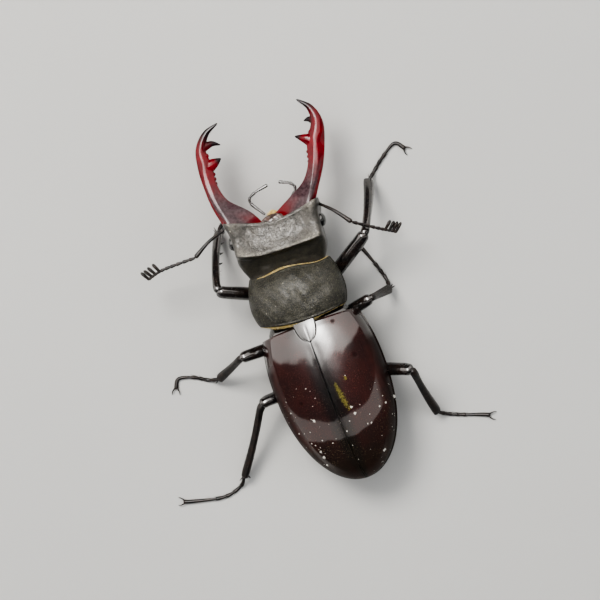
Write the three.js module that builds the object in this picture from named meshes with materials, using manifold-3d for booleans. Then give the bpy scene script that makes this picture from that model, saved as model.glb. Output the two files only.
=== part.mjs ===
// Male European stag beetle, Lucanus cervus, life size, standing on a floor with its jaws half open.
// Millimetres, +Z up, +Y towards the head, +X to the beetle's right. The floor is z = 0 and the origin lies on it,
// under the middle of the beetle's box. Every shell plate and every leg joint is one closed solid of its own.
import * as THREE from "three";
import { mergeVertices } from "three/addons/utils/BufferGeometryUtils.js";
import Module from "manifold-3d";

const wasm = await Module();
wasm.setup();

// Driving dimensions ------------------------------------------------------------------------------------------

const GAP = 0.3; // clearance between neighbouring plates and joints
const TINY = 0.004; // edges shorter than this are collapsed after a cut

// Where each body unit stands: the middle of its rear margin, its turn about Z and its roll, in degrees.
const ROLL_HEIGHT = 9;
const HIND_BODY = { origin: [0, 0], yaw: 0, roll: -4 };
const PROTHORAX = { origin: [-0.32, 0.4], yaw: -4, roll: -1 };
const HEAD = { origin: [0.02, 9.6], yaw: -4.9, roll: 0.5 };

const ELYTRA = {
  length: 27.9,
  halfWidth: 9.7,
  widestAt: 9.25,
  rise: 5.9,
  highestAt: 12,
  edgeHeight: 7.4,
  edgeDrop: 0.9,
  lip: 0.45,
  wall: 0.65,
  roundness: 2.3,
};
const SCUTELLUM = { halfWidth: 1.85, length: 3.1, thickness: 1.2, front: 0.35 };
const BELLY = { height: 2.9, neckReach: 1.6, split: 11, sternites: 5, step: 0.28 };
const PRONOTUM = {
  length: 9.35,
  halfWidth: 8.2,
  rearHalfWidth: 7.5,
  frontHalfWidth: 6.85,
  widestAt: 0.32,
  crown: 13.3,
  crownAt: 0.45,
  rearTop: 12.9,
  frontTop: 11.3,
  edgeHeight: 8.4,
  edgeThickness: 0.55,
};
const PROSTERNUM = { top: 7.5, depth: 3.9, rearHalfWidth: 6.9, frontHalfWidth: 6.2 };
const SKULL = { rear: -1.1, front: 7.5, cornerReach: 2.45, middle: 9.0, depth: 4.0, crest: 0.75 };
const EYE = { at: [7.55, 6.3, 9.4], radii: [0.95, 1.25, 1.3] };
const LABRUM = { halfWidth: 1.7, reach: 2.4, height: 9.7, thickness: 0.9 };
const MOUTH = { halfWidth: 1.5, rear: 8.1, reach: 4.2, height: 8.0, thickness: 1.5 };

// A jaw in its own frame: x outwards and y forwards from its hinge; stations are x, y, z, half width, half height.
const JAW = {
  hinge: { left: [6.45, 9.4], right: [5.5, 9.4] },
  opening: { left: -8.5, right: 9 },
  blade: [
    [-0.95, -0.2, 9.5, 2.6, 2.2],
    [1.45, 3.2, 8.8, 1.55, 1.85],
    [3.1, 6.65, 8.15, 1.15, 1.55],
    [3.65, 9.9, 7.8, 1.25, 1.35],
    [4.1, 13.0, 7.6, 0.88, 1.0],
    [3.05, 15.55, 7.8, 0.57, 0.62],
    [0.95, 17.15, 8.1, 0.16, 0.18],
  ],
  bow: { left: 0.3, right: -0.3 },
  tooth: [
    [3.4, 10.1, 7.75, 1.15, 0.85],
    [2.0, 10.6, 7.7, 0.72, 0.6],
    [0.6, 11.25, 7.65, 0.16, 0.16],
  ],
  toothTip: { left: 1.1, right: 0.05 },
  prong: [
    [3.9, 13.4, 7.5, 0.75, 0.7],
    [2.4, 13.85, 7.35, 0.5, 0.48],
    [0.95, 13.5, 7.2, 0.14, 0.14],
  ],
  denticles: { count: 4, from: 7.2, pitch: 0.85, reach: 0.75, radius: 0.36 },
};

const SCAPE_RADIUS = { root: 0.27, elbow: 0.42 };
const FLAGELLUM = { beads: 6, radius: 0.32, lamellae: 4, lamella: [0.32, 1.2, 0.6] };
const ANTENNAE = {
  left: { root: [-7.64, 19.26, 9.5], elbow: [-13.72, 16.57, 10.5], club: [-19.62, 16.61, 9.5], end: [-22.67, 15.94, 9.0] },
  right: { root: [8.7, 17.92, 9.7], elbow: [13.03, 12.95, 11.5], club: [17.14, 10.15, 9.5], end: [19.24, 8.82, 8.5] },
};
const PALP_RADIUS = 0.29;
const PALPS = {
  left: [[-1.3, 9.6], [-3.2, 12.3], [-2.3, 13.5], [0.4, 14.3]],
  right: [[2.0, 9.6], [4.6, 12.2], [4.2, 13.5], [2.3, 14.3]],
};
const PALP_HEIGHT = 7.6;

// Legs, in the frame of the floor: where the thigh leaves its coxa, the knee, the end of the shin, and the foot's bends.
const LEG_GIRTH = {
  fore: { femur: [1.05, 0.95], tibia: [0.55, 0.95], teeth: 4 },
  mid: { femur: [0.95, 0.85], tibia: [0.5, 0.72], teeth: 3 },
  hind: { femur: [1.05, 0.9], tibia: [0.55, 0.78], teeth: 3 },
};
const COXAE = {
  fore: { unit: PROTHORAX, at: [3.5, 3.9, 4.2], radii: [2.5, 1.5, 1.4] },
  mid: { unit: HIND_BODY, at: [3.6, -1.9, 3.8], radii: [2.0, 1.4, 1.3] },
  hind: { unit: HIND_BODY, at: [4.2, -9.9, 3.6], radii: [3.2, 1.2, 1.1] },
};
const LEGS = {
  fore_left: {
    root: [-5.0, 6.5, 4.0],
    knee: [-12.46, 9.99, 9.0],
    ankle: [-9.7, 19.57, 1.5],
    foot: [[-8.3, 21.3], [-7.7, 23.7], [-7.8, 26.4], [-8.0, 27.5]],
  },
  fore_right: {
    root: [4.4, 4.6, 4.0],
    knee: [14.23, 10.36, 9.9],
    ankle: [17.44, 18.77, 1.5],
    foot: [[18.7, 19.9], [20.7, 21.5], [23.5, 23.1], [25.0, 21.6]],
  },
  mid_left: {
    root: [-4.8, -2.0, 3.5],
    knee: [-12.65, -1.75, 8.4],
    ankle: [-18.37, -3.88, 1.5],
    foot: [[-20.2, -3.5], [-22.6, -2.1], [-25.1, -1.5], [-26.1, -3.0]],
  },
  mid_right: {
    root: [4.6, -1.2, 3.5],
    knee: [11.42, 0.07, 9.6],
    ankle: [14.35, 0.38, 1.5],
    foot: [[14.2, 2.3], [13.5, 4.8], [12.3, 8.2], [11.7, 9.4]],
  },
  hind_left: {
    root: [-4.2, -10.0, 3.3],
    knee: [-12.45, -10.1, 6.1],
    ankle: [-20.2, -21.1, 1.5],
    foot: [[-21.6, -22.4], [-24.9, -23.1], [-30.4, -21.9], [-31.7, -21.4]],
  },
  hind_right: {
    root: [4.6, -10.3, 3.3],
    knee: [13.75, -13.35, 10.2],
    ankle: [14.6, -22.0, 1.5],
    foot: [[16.2, -23.0], [18.6, -24.0], [21.6, -25.1], [22.7, -25.6]],
  },
};
const FOOT = { radius: 0.36, sunk: 0.09, shares: [0.17, 0.13, 0.12, 0.14, 0.44], claw: 1.3, clawSpread: 0.42 };

const COLOURS = {
  shell: { color: 0x2a1a17, roughness: 0.25 },
  armour: { color: 0x1b1a1a, roughness: 0.5 },
  jaw: { color: 0x4d0d10, roughness: 0.2 },
  limb: { color: 0x0f0d0d, roughness: 0.25 },
  eye: { color: 0x050505, roughness: 0.1 },
  brush: { color: 0xb9822c, roughness: 0.8 },
};

// Curves and solids -------------------------------------------------------------------------------------------

const mix = (a, b, t) => a + (b - a) * t;
const clamp01 = (t) => Math.min(1, Math.max(0, t));

/** Cosine or sine raised to a superellipse's exponent, sign kept. */
const squared = (wave, exponent) => Math.sign(wave) * Math.abs(wave) ** (2 / exponent);

/** A smooth curve through numbers at even steps of t from 0 to 1. */
function through(values) {
  const curve = new THREE.SplineCurve(values.map((value, i) => new THREE.Vector2(i, value)));
  return (t) => curve.getPoint(clamp01(t)).y;
}

/** The matrix that carries a body unit's own frame into the floor's. */
function standing({ origin, yaw, roll }) {
  const down = new THREE.Matrix4().makeTranslation(origin[0], origin[1], -ROLL_HEIGHT);
  const turn = new THREE.Matrix4().makeRotationZ(THREE.MathUtils.degToRad(yaw));
  const lean = new THREE.Matrix4().makeRotationY(THREE.MathUtils.degToRad(roll));
  const up = new THREE.Matrix4().makeTranslation(0, 0, ROLL_HEIGHT);
  return up.multiply(lean).multiply(down).multiply(turn);
}

/** Indexed triangles as a manifold solid, turned outwards if they face in. */
function solid(geometry) {
  geometry.deleteAttribute("normal");
  geometry.deleteAttribute("uv");
  const merged = mergeVertices(geometry, 1e-4);
  const triVerts = new Uint32Array(merged.index.array);
  const vertProperties = merged.attributes.position.array;
  const made = new wasm.Manifold(new wasm.Mesh({ numProp: 3, vertProperties, triVerts }));
  if (made.volume() > 0) return made;
  for (let i = 0; i < triVerts.length; i += 3) {
    [triVerts[i + 1], triVerts[i + 2]] = [triVerts[i + 2], triVerts[i + 1]];
  }
  return new wasm.Manifold(new wasm.Mesh({ numProp: 3, vertProperties, triVerts }));
}

/** A solid's triangles as a three.js geometry. */
function geometryOf(made) {
  const { vertProperties, triVerts, numProp } = made.getMesh();
  const geometry = new THREE.BufferGeometry();
  const points = new Float32Array((vertProperties.length / numProp) * 3);
  for (let i = 0; i < points.length / 3; i++) {
    points.set(vertProperties.subarray(i * numProp, i * numProp + 3), i * 3);
  }
  geometry.setAttribute("position", new THREE.BufferAttribute(points, 3));
  geometry.setIndex(new THREE.BufferAttribute(triVerts, 1));
  return geometry;
}

/** A closed skin: place(t, a, point) sets the point at share t of the length and angle a round the ring. */
function skin(rings, around, place) {
  const geometry = new THREE.SphereGeometry(1, around, rings + 1);
  const { position, uv } = geometry.attributes;
  const point = new THREE.Vector3();
  for (let i = 0; i < position.count; i++) {
    const row = Math.round((1 - uv.getY(i)) * (rings + 1));
    const t = clamp01((row - 1) / (rings - 1));
    const middle = new THREE.Vector3();
    if (row === 0 || row === rings + 1) {
      for (let j = 0; j < around; j++) {
        place(t, (j / around) * 2 * Math.PI, point);
        middle.addScaledVector(point, 1 / around);
      }
    } else {
      const column = Math.round(uv.getX(i) * around) % around;
      place(t, (column / around) * 2 * Math.PI, middle);
    }
    position.setXYZ(i, middle.x, middle.y, middle.z);
  }
  return geometry;
}

/** An oval limb along a smooth curve through stations [x, y, z, half width, half depth]; across is the width's way. */
function limb(stations, rings, around, across) {
  const curve = new THREE.CatmullRomCurve3(stations.map(([x, y, z]) => new THREE.Vector3(x, y, z)));
  const width = through(stations.map((station) => station[3]));
  const depth = through(stations.map((station) => station[4]));
  const side = new THREE.Vector3();
  return skin(rings, around, (t, a, point) => {
    const along = curve.getTangent(t);
    side.copy(across).addScaledVector(along, -across.dot(along)).normalize();
    const lift = along.clone().cross(side);
    point.copy(curve.getPoint(t));
    point.addScaledVector(side, width(t) * Math.cos(a));
    point.addScaledVector(lift, depth(t) * Math.sin(a));
  });
}

/** A block between two corners. */
function block([x0, y0, z0], [x1, y1, z1]) {
  const geometry = new THREE.BoxGeometry(x1 - x0, y1 - y0, z1 - z0);
  return solid(geometry.translate((x0 + x1) / 2, (y0 + y1) / 2, (z0 + z1) / 2));
}

/** The same solid grown outwards along its vertex normals. */
function swollen(made, by = GAP) {
  const geometry = geometryOf(made);
  geometry.computeVertexNormals();
  const { position, normal } = geometry.attributes;
  for (let i = 0; i < position.count; i++) {
    position.setXYZ(
      i,
      position.getX(i) + by * normal.getX(i),
      position.getY(i) + by * normal.getY(i),
      position.getZ(i) + by * normal.getZ(i),
    );
  }
  return solid(geometry);
}

const joined = (pieces) => pieces.reduce((whole, piece) => whole.add(piece));
const largest = (made) => made.decompose().sort((a, b) => b.volume() - a.volume())[0];

/** A piece trimmed back so that it meets each neighbour face to face across the gap. */
const meeting = (piece, ...neighbours) =>
  largest(neighbours.reduce((left, neighbour) => left.subtract(swollen(neighbour)), piece).simplify(TINY));

const nodes = new Map();
function keep(name, finish, made) {
  nodes.set(name, { finish, made });
  return made;
}

// Hind body: wing cases, scutellum, hind thorax and belly -----------------------------------------------------

const hindBody = standing(HIND_BODY);

/** Half width of the closed wing cases at distance s behind their base. */
function elytraHalfWidth(s) {
  const { halfWidth, widestAt, length } = ELYTRA;
  if (s < widestAt) return halfWidth * (1 - 0.15 * ((widestAt - s) / widestAt) ** 2);
  return halfWidth * Math.max(0, 1 - ((s - widestAt) / (length - widestAt)) ** 2.3) ** (1 / 1.9);
}

/** Height of the wing cases' ridge above their side edge at distance s. */
function elytraRise(s) {
  const { rise, highestAt, length } = ELYTRA;
  if (s < highestAt) return rise * (1 - 0.08 * ((highestAt - s) / highestAt) ** 2);
  return rise * Math.sqrt(Math.max(0, 1 - ((s - highestAt) / (length - highestAt)) ** 2.6));
}

const elytraEdge = (s) => ELYTRA.edgeHeight - ELYTRA.edgeDrop * (s / ELYTRA.length) ** 2;

/** The closed wing cases as one dome, drawn in by inset and let down by drop below the side edge. */
function dome(inset, drop, front, rings, around) {
  const { length, roundness } = ELYTRA;
  const rear = length - inset - 0.03;
  return solid(
    skin(rings, around, (t, a, point) => {
      const s = rear - (rear - front) * (1 - t) ** 1.6;
      const inner = Math.max(s, 0);
      const half = Math.max(0.3, elytraHalfWidth(inner) - inset);
      const shoulder = 1 - 0.14 * Math.exp(-Math.max(0, s - front) / 0.7);
      const height = Math.max(0.3, elytraRise(inner) - inset) * shoulder;
      const x = half * squared(Math.cos(a), roundness);
      const wave = squared(Math.sin(a), roundness);
      const bow = 0.7 * (x / ELYTRA.halfWidth) ** 2 * Math.exp(-Math.max(0, s) / 3);
      point.set(x, -s - bow, elytraEdge(inner) + (wave > 0 ? height * wave : drop * wave));
    }).applyMatrix4(hindBody),
  );
}

/** The small tongue-shaped plate between the wing-case bases. */
function scutellumPlate() {
  const { halfWidth, length, thickness, front } = SCUTELLUM;
  return solid(
    skin(7, 16, (t, a, point) => {
      const s = mix(-front, length, t);
      const half = Math.max(0.12, halfWidth * Math.sqrt(1 - t ** 2.2));
      const x = half * squared(Math.cos(a), 2.6);
      const top = elytraEdge(0) + elytraRise(2) - 0.1 - 0.25 * (1 - t) ** 3 - 0.04 * x * x;
      point.set(x, -s, top + (Math.sin(a) > 0 ? 0 : -thickness) + 0.12 * Math.max(0, Math.sin(a)));
    }).applyMatrix4(hindBody),
  );
}

const scutellum = keep("scutellum", "armour", scutellumPlate());

const shell = dome(0, ELYTRA.lip, 0, 22, 36).subtract(dome(ELYTRA.wall, 12, -3, 16, 24));
const FAR = 60;
const halfSpace = {
  right: solid(new THREE.BoxGeometry(FAR, 2 * FAR, FAR).translate(FAR / 2 + GAP / 2, 0, 0).applyMatrix4(hindBody)),
  left: solid(new THREE.BoxGeometry(FAR, 2 * FAR, FAR).translate(-FAR / 2 - GAP / 2, 0, 0).applyMatrix4(hindBody)),
};
const elytra = {};
for (const side of ["left", "right"]) {
  elytra[side] = keep(`elytron_${side}`, "shell", meeting(shell.intersect(halfSpace[side]), scutellum));
}

// Prothorax: the collar plate and its underside ---------------------------------------------------------------

const prothorax = standing(PROTHORAX);

/** Half width of the collar plate at share v from its rear margin. */
function pronotumHalfWidth(v) {
  const { halfWidth, rearHalfWidth, frontHalfWidth, widestAt } = PRONOTUM;
  if (v < widestAt) return mix(halfWidth, rearHalfWidth, ((widestAt - v) / widestAt) ** 2);
  return mix(halfWidth, frontHalfWidth, ((v - widestAt) / (1 - widestAt)) ** 1.7);
}

/** Height of the collar plate's midline at share v. */
function pronotumTop(v) {
  const { crown, crownAt, rearTop, frontTop } = PRONOTUM;
  if (v < crownAt) return mix(crown, rearTop, ((crownAt - v) / crownAt) ** 2);
  return mix(crown, frontTop, ((v - crownAt) / (1 - crownAt)) ** 2.2);
}

/** Distance forwards of share v of the collar plate, its rear bowed back and its front margin in two waves. */
function pronotumForward(v, x) {
  const q = (x / PRONOTUM.rearHalfWidth) ** 2;
  const rear = q;
  const front = PRONOTUM.length + 0.3 * q * q - 2.4 * q * (1 - q);
  return mix(rear, front, v);
}

const pronotum = keep(
  "pronotum",
  "armour",
  solid(
    skin(14, 32, (t, a, point) => {
      const { edgeHeight, edgeThickness } = PRONOTUM;
      const x = pronotumHalfWidth(t) * squared(Math.cos(a), 2.7);
      const wave = squared(Math.sin(a), 2.3);
      const rounding = 1 - 0.12 * (Math.exp(-t / 0.05) + Math.exp(-(1 - t) / 0.05));
      const rise = (pronotumTop(t) - edgeHeight) * rounding;
      point.set(x, pronotumForward(t, x), edgeHeight + (wave > 0 ? rise : edgeThickness) * wave);
    }).applyMatrix4(prothorax),
  ),
);

const prosternum = keep(
  "prosternum",
  "limb",
  solid(
    skin(8, 24, (t, a, point) => {
      const { top, depth, rearHalfWidth, frontHalfWidth } = PROSTERNUM;
      const swell = Math.sin(Math.PI * mix(0.18, 0.82, t)) ** 0.5;
      const half = mix(rearHalfWidth, frontHalfWidth, t) * mix(0.94, 1, swell);
      const wave = squared(Math.sin(a), 2.2);
      const x = half * squared(Math.cos(a), 2.6);
      point.set(x, mix(1.3, 8.9, t), top + (wave > 0 ? 0.1 : depth * swell) * wave);
    }).applyMatrix4(prothorax),
  ),
);

/** The hind body's flesh inside the wing cases and under them, with neck and overlapping belly plates. */
function trunk(from, to, stations) {
  const { height, neckReach, step } = BELLY;
  const inset = ELYTRA.wall + 2 * GAP;
  return solid(
    skin(stations.length, 22, (t, a, point) => {
      const [share, lap] = stations[Math.round(t * (stations.length - 1))];
      const s = mix(from, to, share);
      const inner = Math.max(s, 0);
      const neck = clamp01(-s / neckReach);
      const half = Math.max(0.4, elytraHalfWidth(inner) - inset) * mix(1, 0.86, neck);
      const rise = Math.max(0.4, elytraRise(inner) - inset) * mix(0.84, 0.6, neck);
      const taper = Math.sqrt(Math.max(0.02, 1 - clamp01((s - 16) / (ELYTRA.length - 16)) ** 2.4));
      const depth = (elytraEdge(inner) - height) * taper * mix(1, 0.8, neck) - lap * step;
      const wave = squared(Math.sin(a), 2.3);
      const x = half * squared(Math.cos(a), 2.3);
      point.set(x, -s, elytraEdge(inner) - 0.1 + (wave > 0 ? rise : depth) * wave);
    }).applyMatrix4(hindBody),
  );
}

const thoraxStations = [0, 0.12, 0.3, 0.6, 0.85, 1].map((share) => [share, share > 0.95 ? 1 : 0]);
const sterniteStations = [...Array(BELLY.sternites).keys()].flatMap((k) =>
  [[0.03, 1], [0.5, 0.5], [0.97, 0]].map(([share, lap]) => [(k + share) / BELLY.sternites, lap]),
);
const { split, neckReach } = BELLY;
const lids = [elytra.left, elytra.right, scutellum, pronotum, prosternum];
const thorax = keep("hind_thorax", "limb", meeting(trunk(-neckReach, split, thoraxStations), ...lids));
const bellyEnd = ELYTRA.length - ELYTRA.wall - 2 * GAP - 0.5;
const abdomen = keep(
  "abdomen",
  "limb",
  meeting(trunk(split + GAP, bellyEnd, sterniteStations), elytra.left, elytra.right),
);

// Head, eyes and mouth ----------------------------------------------------------------------------------------

const headFrame = standing(HEAD);
const skullHalfWidth = through([6.1, 6.6, 7.2, 7.6, 7.6, 7.6, 7.8, 8.35]);
const skullTop = through([10.1, 10.4, 11.0, 11.7, 11.85, 11.75, 11.5, 11.2]);
const skullSide = through([0, 0, 0.1, 0.3, 0.5, 0.6, 0.9, 1.2]);

/** The head's upper face: a shallow disc between raised front corners, with a crest across its rear. */
function skullHeight(t, y, u) {
  const crestLine = 3.1 + 0.9 * u * u;
  const crest = (SKULL.crest + 0.45 * u * u) * Math.exp(-(((y - crestLine) / 0.75) ** 2));
  return skullTop(t) + skullSide(t) * u * u + crest;
}

const skull = solid(
  skin(20, 32, (t, a, point) => {
    const squareness = mix(3, 6.5, t);
    const u = squared(Math.cos(a), squareness);
    const wave = squared(Math.sin(a), squareness);
    const y = mix(SKULL.rear, SKULL.front, t);
    const half = skullHalfWidth(t);
    const reach = SKULL.cornerReach * u * u * clamp01((t - 0.6) / 0.4) * (wave > 0 ? 1 : 0.6);
    const top = skullHeight(t, y, u) - SKULL.middle;
    const depth = SKULL.depth * mix(1, 0.8, t);
    point.set(half * u, y + reach, SKULL.middle + (wave > 0 ? top : depth) * wave);
  }).applyMatrix4(headFrame),
);
const head = keep("head", "armour", meeting(skull, pronotum, prosternum));

for (const [side, sign] of [["left", -1], ["right", 1]]) {
  const ball = new THREE.SphereGeometry(1, 12, 9).scale(...EYE.radii);
  ball.translate(sign * EYE.at[0], EYE.at[1], EYE.at[2]).applyMatrix4(headFrame);
  keep(`eye_${side}`, "eye", meeting(solid(ball), head));
}

/** A flat tongue of the mouth, from y rear to rear + reach, rounded at its tip. */
function tongue(halfWidth, rear, reach, height, thickness) {
  return solid(
    skin(7, 12, (t, a, point) => {
      const girth = Math.sqrt(Math.max(0.03, 1 - t ** 2.6));
      const z = height - 0.12 * reach * t * t;
      point.set(halfWidth * girth * Math.cos(a), rear + reach * t, z + (thickness / 2) * girth * Math.sin(a));
    }).applyMatrix4(headFrame),
  );
}

const { halfWidth: lipHalf, reach: lipReach, height: lipHeight, thickness: lipThickness } = LABRUM;
const labrum = keep(
  "labrum",
  "armour",
  meeting(tongue(lipHalf, SKULL.front - 0.5, lipReach + 0.5, lipHeight, lipThickness), head),
);
const mouth = keep(
  "mouthparts",
  "brush",
  meeting(tongue(MOUTH.halfWidth, MOUTH.rear - 0.5, MOUTH.reach + 0.5, MOUTH.height, MOUTH.thickness), head, labrum),
);

// Jaws --------------------------------------------------------------------------------------------------------

const UP = new THREE.Vector3(0, 0, 1);

/** A horn of the jaw along stations in the jaw's frame, its width level and its depth upright. */
function horn(stations, rings, around) {
  const first = new THREE.Vector3(...stations[0]);
  const last = new THREE.Vector3(...stations.at(-1));
  return solid(limb(stations, rings, around, last.sub(first).cross(UP).normalize()));
}

function jaw(side) {
  const { tooth, prong, denticles } = JAW;
  const bowed = (i) => JAW.bow[side] * Math.sin((Math.PI * i) / (JAW.blade.length - 1));
  const blade = JAW.blade.map(([x, ...rest], i) => [x + bowed(i), ...rest]);
  const tip = [JAW.toothTip[side], ...tooth.at(-1).slice(1)];
  const pieces = [horn(blade, 16, 12), horn([...tooth.slice(0, -1), tip], 5, 8), horn(prong, 6, 8)];
  const edge = new THREE.CatmullRomCurve3(blade.map(([x, y, z]) => new THREE.Vector3(x, y, z)));
  for (let k = 0; k < denticles.count; k++) {
    const y = denticles.from + k * denticles.pitch;
    const root = edge.getPoint((y - blade[0][1]) / 16.8);
    const inner = root.x - 1.1;
    pieces.push(
      horn(
        [
          [inner + 0.5, root.y, root.z, denticles.radius, denticles.radius],
          [inner - 0.1, root.y + 0.05, root.z, 0.75 * denticles.radius, 0.75 * denticles.radius],
          [inner - denticles.reach, root.y + 0.15, root.z, 0.1, 0.1],
        ],
        3,
        6,
      ),
    );
  }
  return joined(pieces);
}

for (const [side, sign] of [["left", -1], ["right", 1]]) {
  const open = new THREE.Matrix4().makeRotationZ(THREE.MathUtils.degToRad(-JAW.opening[side]));
  const hinge = new THREE.Matrix4().makeTranslation(...JAW.hinge[side], 0);
  const mirror = new THREE.Matrix4().makeScale(sign, 1, 1);
  const place = headFrame.clone().multiply(mirror).multiply(hinge).multiply(open);
  const made = solid(geometryOf(jaw(side)).applyMatrix4(place));
  keep(`mandible_${side}`, "jaw", meeting(made, head, labrum, mouth));
}

// Feelers: antennae and palps ---------------------------------------------------------------------------------

for (const [side, { root, elbow, club, end }] of Object.entries(ANTENNAE)) {
  const [r0, r1] = [SCAPE_RADIUS.root, SCAPE_RADIUS.elbow];
  const [a, b] = [new THREE.Vector3(...root), new THREE.Vector3(...elbow)];
  const bowed = a.clone().lerp(b, 0.5).add(new THREE.Vector3(0, 0.35, 0.25));
  const scape = limb([[...root, r0, r0], [...bowed, 0.3, 0.3], [...elbow, r1, r1]], 8, 8, UP);
  const scapeSolid = keep(
    `antenna_scape_${side}`,
    "limb",
    meeting(solid(scape), head, nodes.get(`mandible_${side}`).made),
  );

  const stalk = new THREE.CatmullRomCurve3([elbow, club, end].map((p) => new THREE.Vector3(...p)));
  const rings = FLAGELLUM.beads * 2 + 1;
  const along = new THREE.Vector3();
  const flagellum = skin(rings, 6, (t, angle, point) => {
    along.copy(stalk.getTangent(t));
    const across = along.clone().cross(UP).normalize();
    const lift = across.clone().cross(along);
    const bead = Math.round(t * (rings - 1)) % 2 ? 1.1 : 0.85;
    point.copy(stalk.getPoint(t));
    point.addScaledVector(across, FLAGELLUM.radius * bead * Math.cos(angle));
    point.addScaledVector(lift, FLAGELLUM.radius * bead * Math.sin(angle));
  });
  const pieces = [solid(flagellum)];
  for (let k = 0; k < FLAGELLUM.lamellae; k++) {
    const t = mix(0.58, 0.97, k / (FLAGELLUM.lamellae - 1));
    const p = stalk.getPoint(t);
    const forward = stalk.getTangent(t).cross(UP).normalize().multiplyScalar(side === "left" ? 1 : -1);
    const lamella = new THREE.SphereGeometry(1, 7, 5).scale(...FLAGELLUM.lamella);
    lamella.rotateZ(Math.atan2(forward.y, forward.x) - Math.PI / 2);
    lamella.translate(p.x + 0.85 * forward.x, p.y + 0.85 * forward.y, p.z);
    pieces.push(solid(lamella));
  }
  keep(`antenna_flagellum_${side}`, "limb", meeting(joined(pieces), scapeSolid));
}

for (const [side, plan] of Object.entries(PALPS)) {
  const stations = plan.map(([x, y], i) => {
    const radius = PALP_RADIUS * (i === plan.length - 1 ? 0.9 : 1);
    return [x, y, PALP_HEIGHT - 0.1 * i, radius, radius];
  });
  const palp = limb(stations, 10, 7, UP).applyMatrix4(headFrame);
  keep(
    `maxillary_palp_${side}`,
    "limb",
    meeting(solid(palp), mouth, head, labrum, nodes.get(`mandible_${side}`).made),
  );
}

// Legs --------------------------------------------------------------------------------------------------------

const floor = block([-FAR, -FAR, -FAR], [FAR, FAR, 0]);
const body = [thorax, abdomen, elytra.left, elytra.right, prosternum, pronotum];

/** The foot: five joints that widen towards their ends, flat where they stand, with a pair of hooked claws. */
function foot(ankle, bends) {
  const { radius, sunk, shares, claw, clawSpread } = FOOT;
  const level = radius - sunk;
  const points = [ankle, ...bends.map(([x, y]) => [x, y, level])].map((p) => new THREE.Vector3(...p));
  const path = new THREE.CatmullRomCurve3(points, false, "centripetal");
  const rings = [];
  shares.reduce((start, share) => {
    rings.push([start + 0.02, 0.74], [start + share - 0.01, 1.04]);
    return start + share;
  }, 0);
  const tube = skin(rings.length, 7, (t, a, point) => {
    const [share, swell] = rings[Math.round(t * (rings.length - 1))];
    const along = path.getTangentAt(share);
    const across = along.clone().cross(UP).normalize();
    const lift = across.clone().cross(along);
    point.copy(path.getPointAt(share));
    point.addScaledVector(across, radius * swell * Math.cos(a));
    point.addScaledVector(lift, radius * swell * Math.sin(a));
  });
  const tip = path.getPointAt(0.97);
  const along = path.getTangentAt(0.97).setZ(0).normalize();
  const across = along.clone().cross(UP).normalize();
  const claws = [-1, 1].map((turn) => {
    const reach = (forward, out, z) => [
      tip.x + claw * forward * along.x + turn * clawSpread * out * across.x,
      tip.y + claw * forward * along.y + turn * clawSpread * out * across.y,
      z,
    ];
    const stations = [
      [...reach(-0.1, 0.1, level), 0.2, 0.2],
      [...reach(0.5, 1.2, level + 0.1), 0.17, 0.17],
      [...reach(1.0, 1.6, 0.12), 0.06, 0.06],
    ];
    return solid(limb(stations, 3, 5, UP));
  });
  return joined([solid(tube), ...claws]).subtract(floor);
}

for (const [name, { root, knee, ankle, foot: bends }] of Object.entries(LEGS)) {
  const [pair, side] = name.split("_");
  const sign = side === "left" ? -1 : 1;
  const girth = LEG_GIRTH[pair];
  const { unit, at, radii } = COXAE[pair];

  const hip = new THREE.SphereGeometry(1, 10, 7).rotateZ(Math.PI / 2).scale(...radii);
  hip.translate(sign * at[0], at[1], at[2]).applyMatrix4(standing(unit));
  const coxa = keep(`coxa_${name}`, "limb", meeting(solid(hip), ...body));

  const [rootPoint, kneePoint, anklePoint] = [root, knee, ankle].map((p) => new THREE.Vector3(...p));
  const thigh = kneePoint.clone().sub(rootPoint);
  const shin = anklePoint.clone().sub(kneePoint);
  const across = thigh.clone().cross(shin).normalize();
  const onThigh = (share) => rootPoint.clone().addScaledVector(thigh, share).toArray();
  const [wide, deep] = girth.femur;
  const femurSkin = limb(
    [
      [...onThigh(0), 0.55 * wide, 0.55 * deep],
      [...onThigh(0.12), 0.9 * wide, 0.9 * deep],
      [...onThigh(0.55), wide, deep],
      [...onThigh(0.88), 0.8 * wide, 0.85 * deep],
      [...onThigh(1.03), 0.42 * wide, 0.5 * deep],
    ],
    7,
    9,
    across,
  );
  const femur = keep(`femur_${name}`, "limb", meeting(solid(femurSkin), coxa, ...body));

  const [slim, broad] = girth.tibia;
  const onShin = (share) => kneePoint.clone().addScaledVector(shin, share).toArray();
  const pieces = [
    solid(
      limb(
        [
          [...onShin(0.0), 0.7 * slim, 0.7 * slim],
          [...onShin(0.1), slim, slim],
          [...onShin(0.55), mix(slim, broad, 0.4), 1.05 * slim],
          [...onShin(0.92), broad, 1.1 * slim],
          [...onShin(1.0), 0.8 * broad, 0.8 * slim],
        ],
        7,
        8,
        across,
      ),
    ),
  ];
  const outer = shin.clone().cross(across).normalize();
  for (let k = 0; k < girth.teeth; k++) {
    const share = mix(0.45, 0.95, k / (girth.teeth - 1));
    const from = kneePoint.clone().addScaledVector(shin, share);
    const way = outer.clone().multiplyScalar(-1).addScaledVector(shin.clone().normalize(), 0.6).normalize();
    const reach = slim + mix(0.45, 0.8, k / (girth.teeth - 1));
    const tooth = [0, 0.6, 1].map((part) => {
      const r = mix(0.34, 0.08, part);
      return [...from.clone().addScaledVector(way, reach * part).toArray(), r, r];
    });
    pieces.push(solid(limb(tooth, 2, 5, across)));
  }
  const tibia = keep(`tibia_${name}`, "limb", meeting(joined(pieces), femur));

  keep(`tarsus_${name}`, "limb", meeting(foot(ankle, bends), tibia));
}

// The scene graph ---------------------------------------------------------------------------------------------

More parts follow.
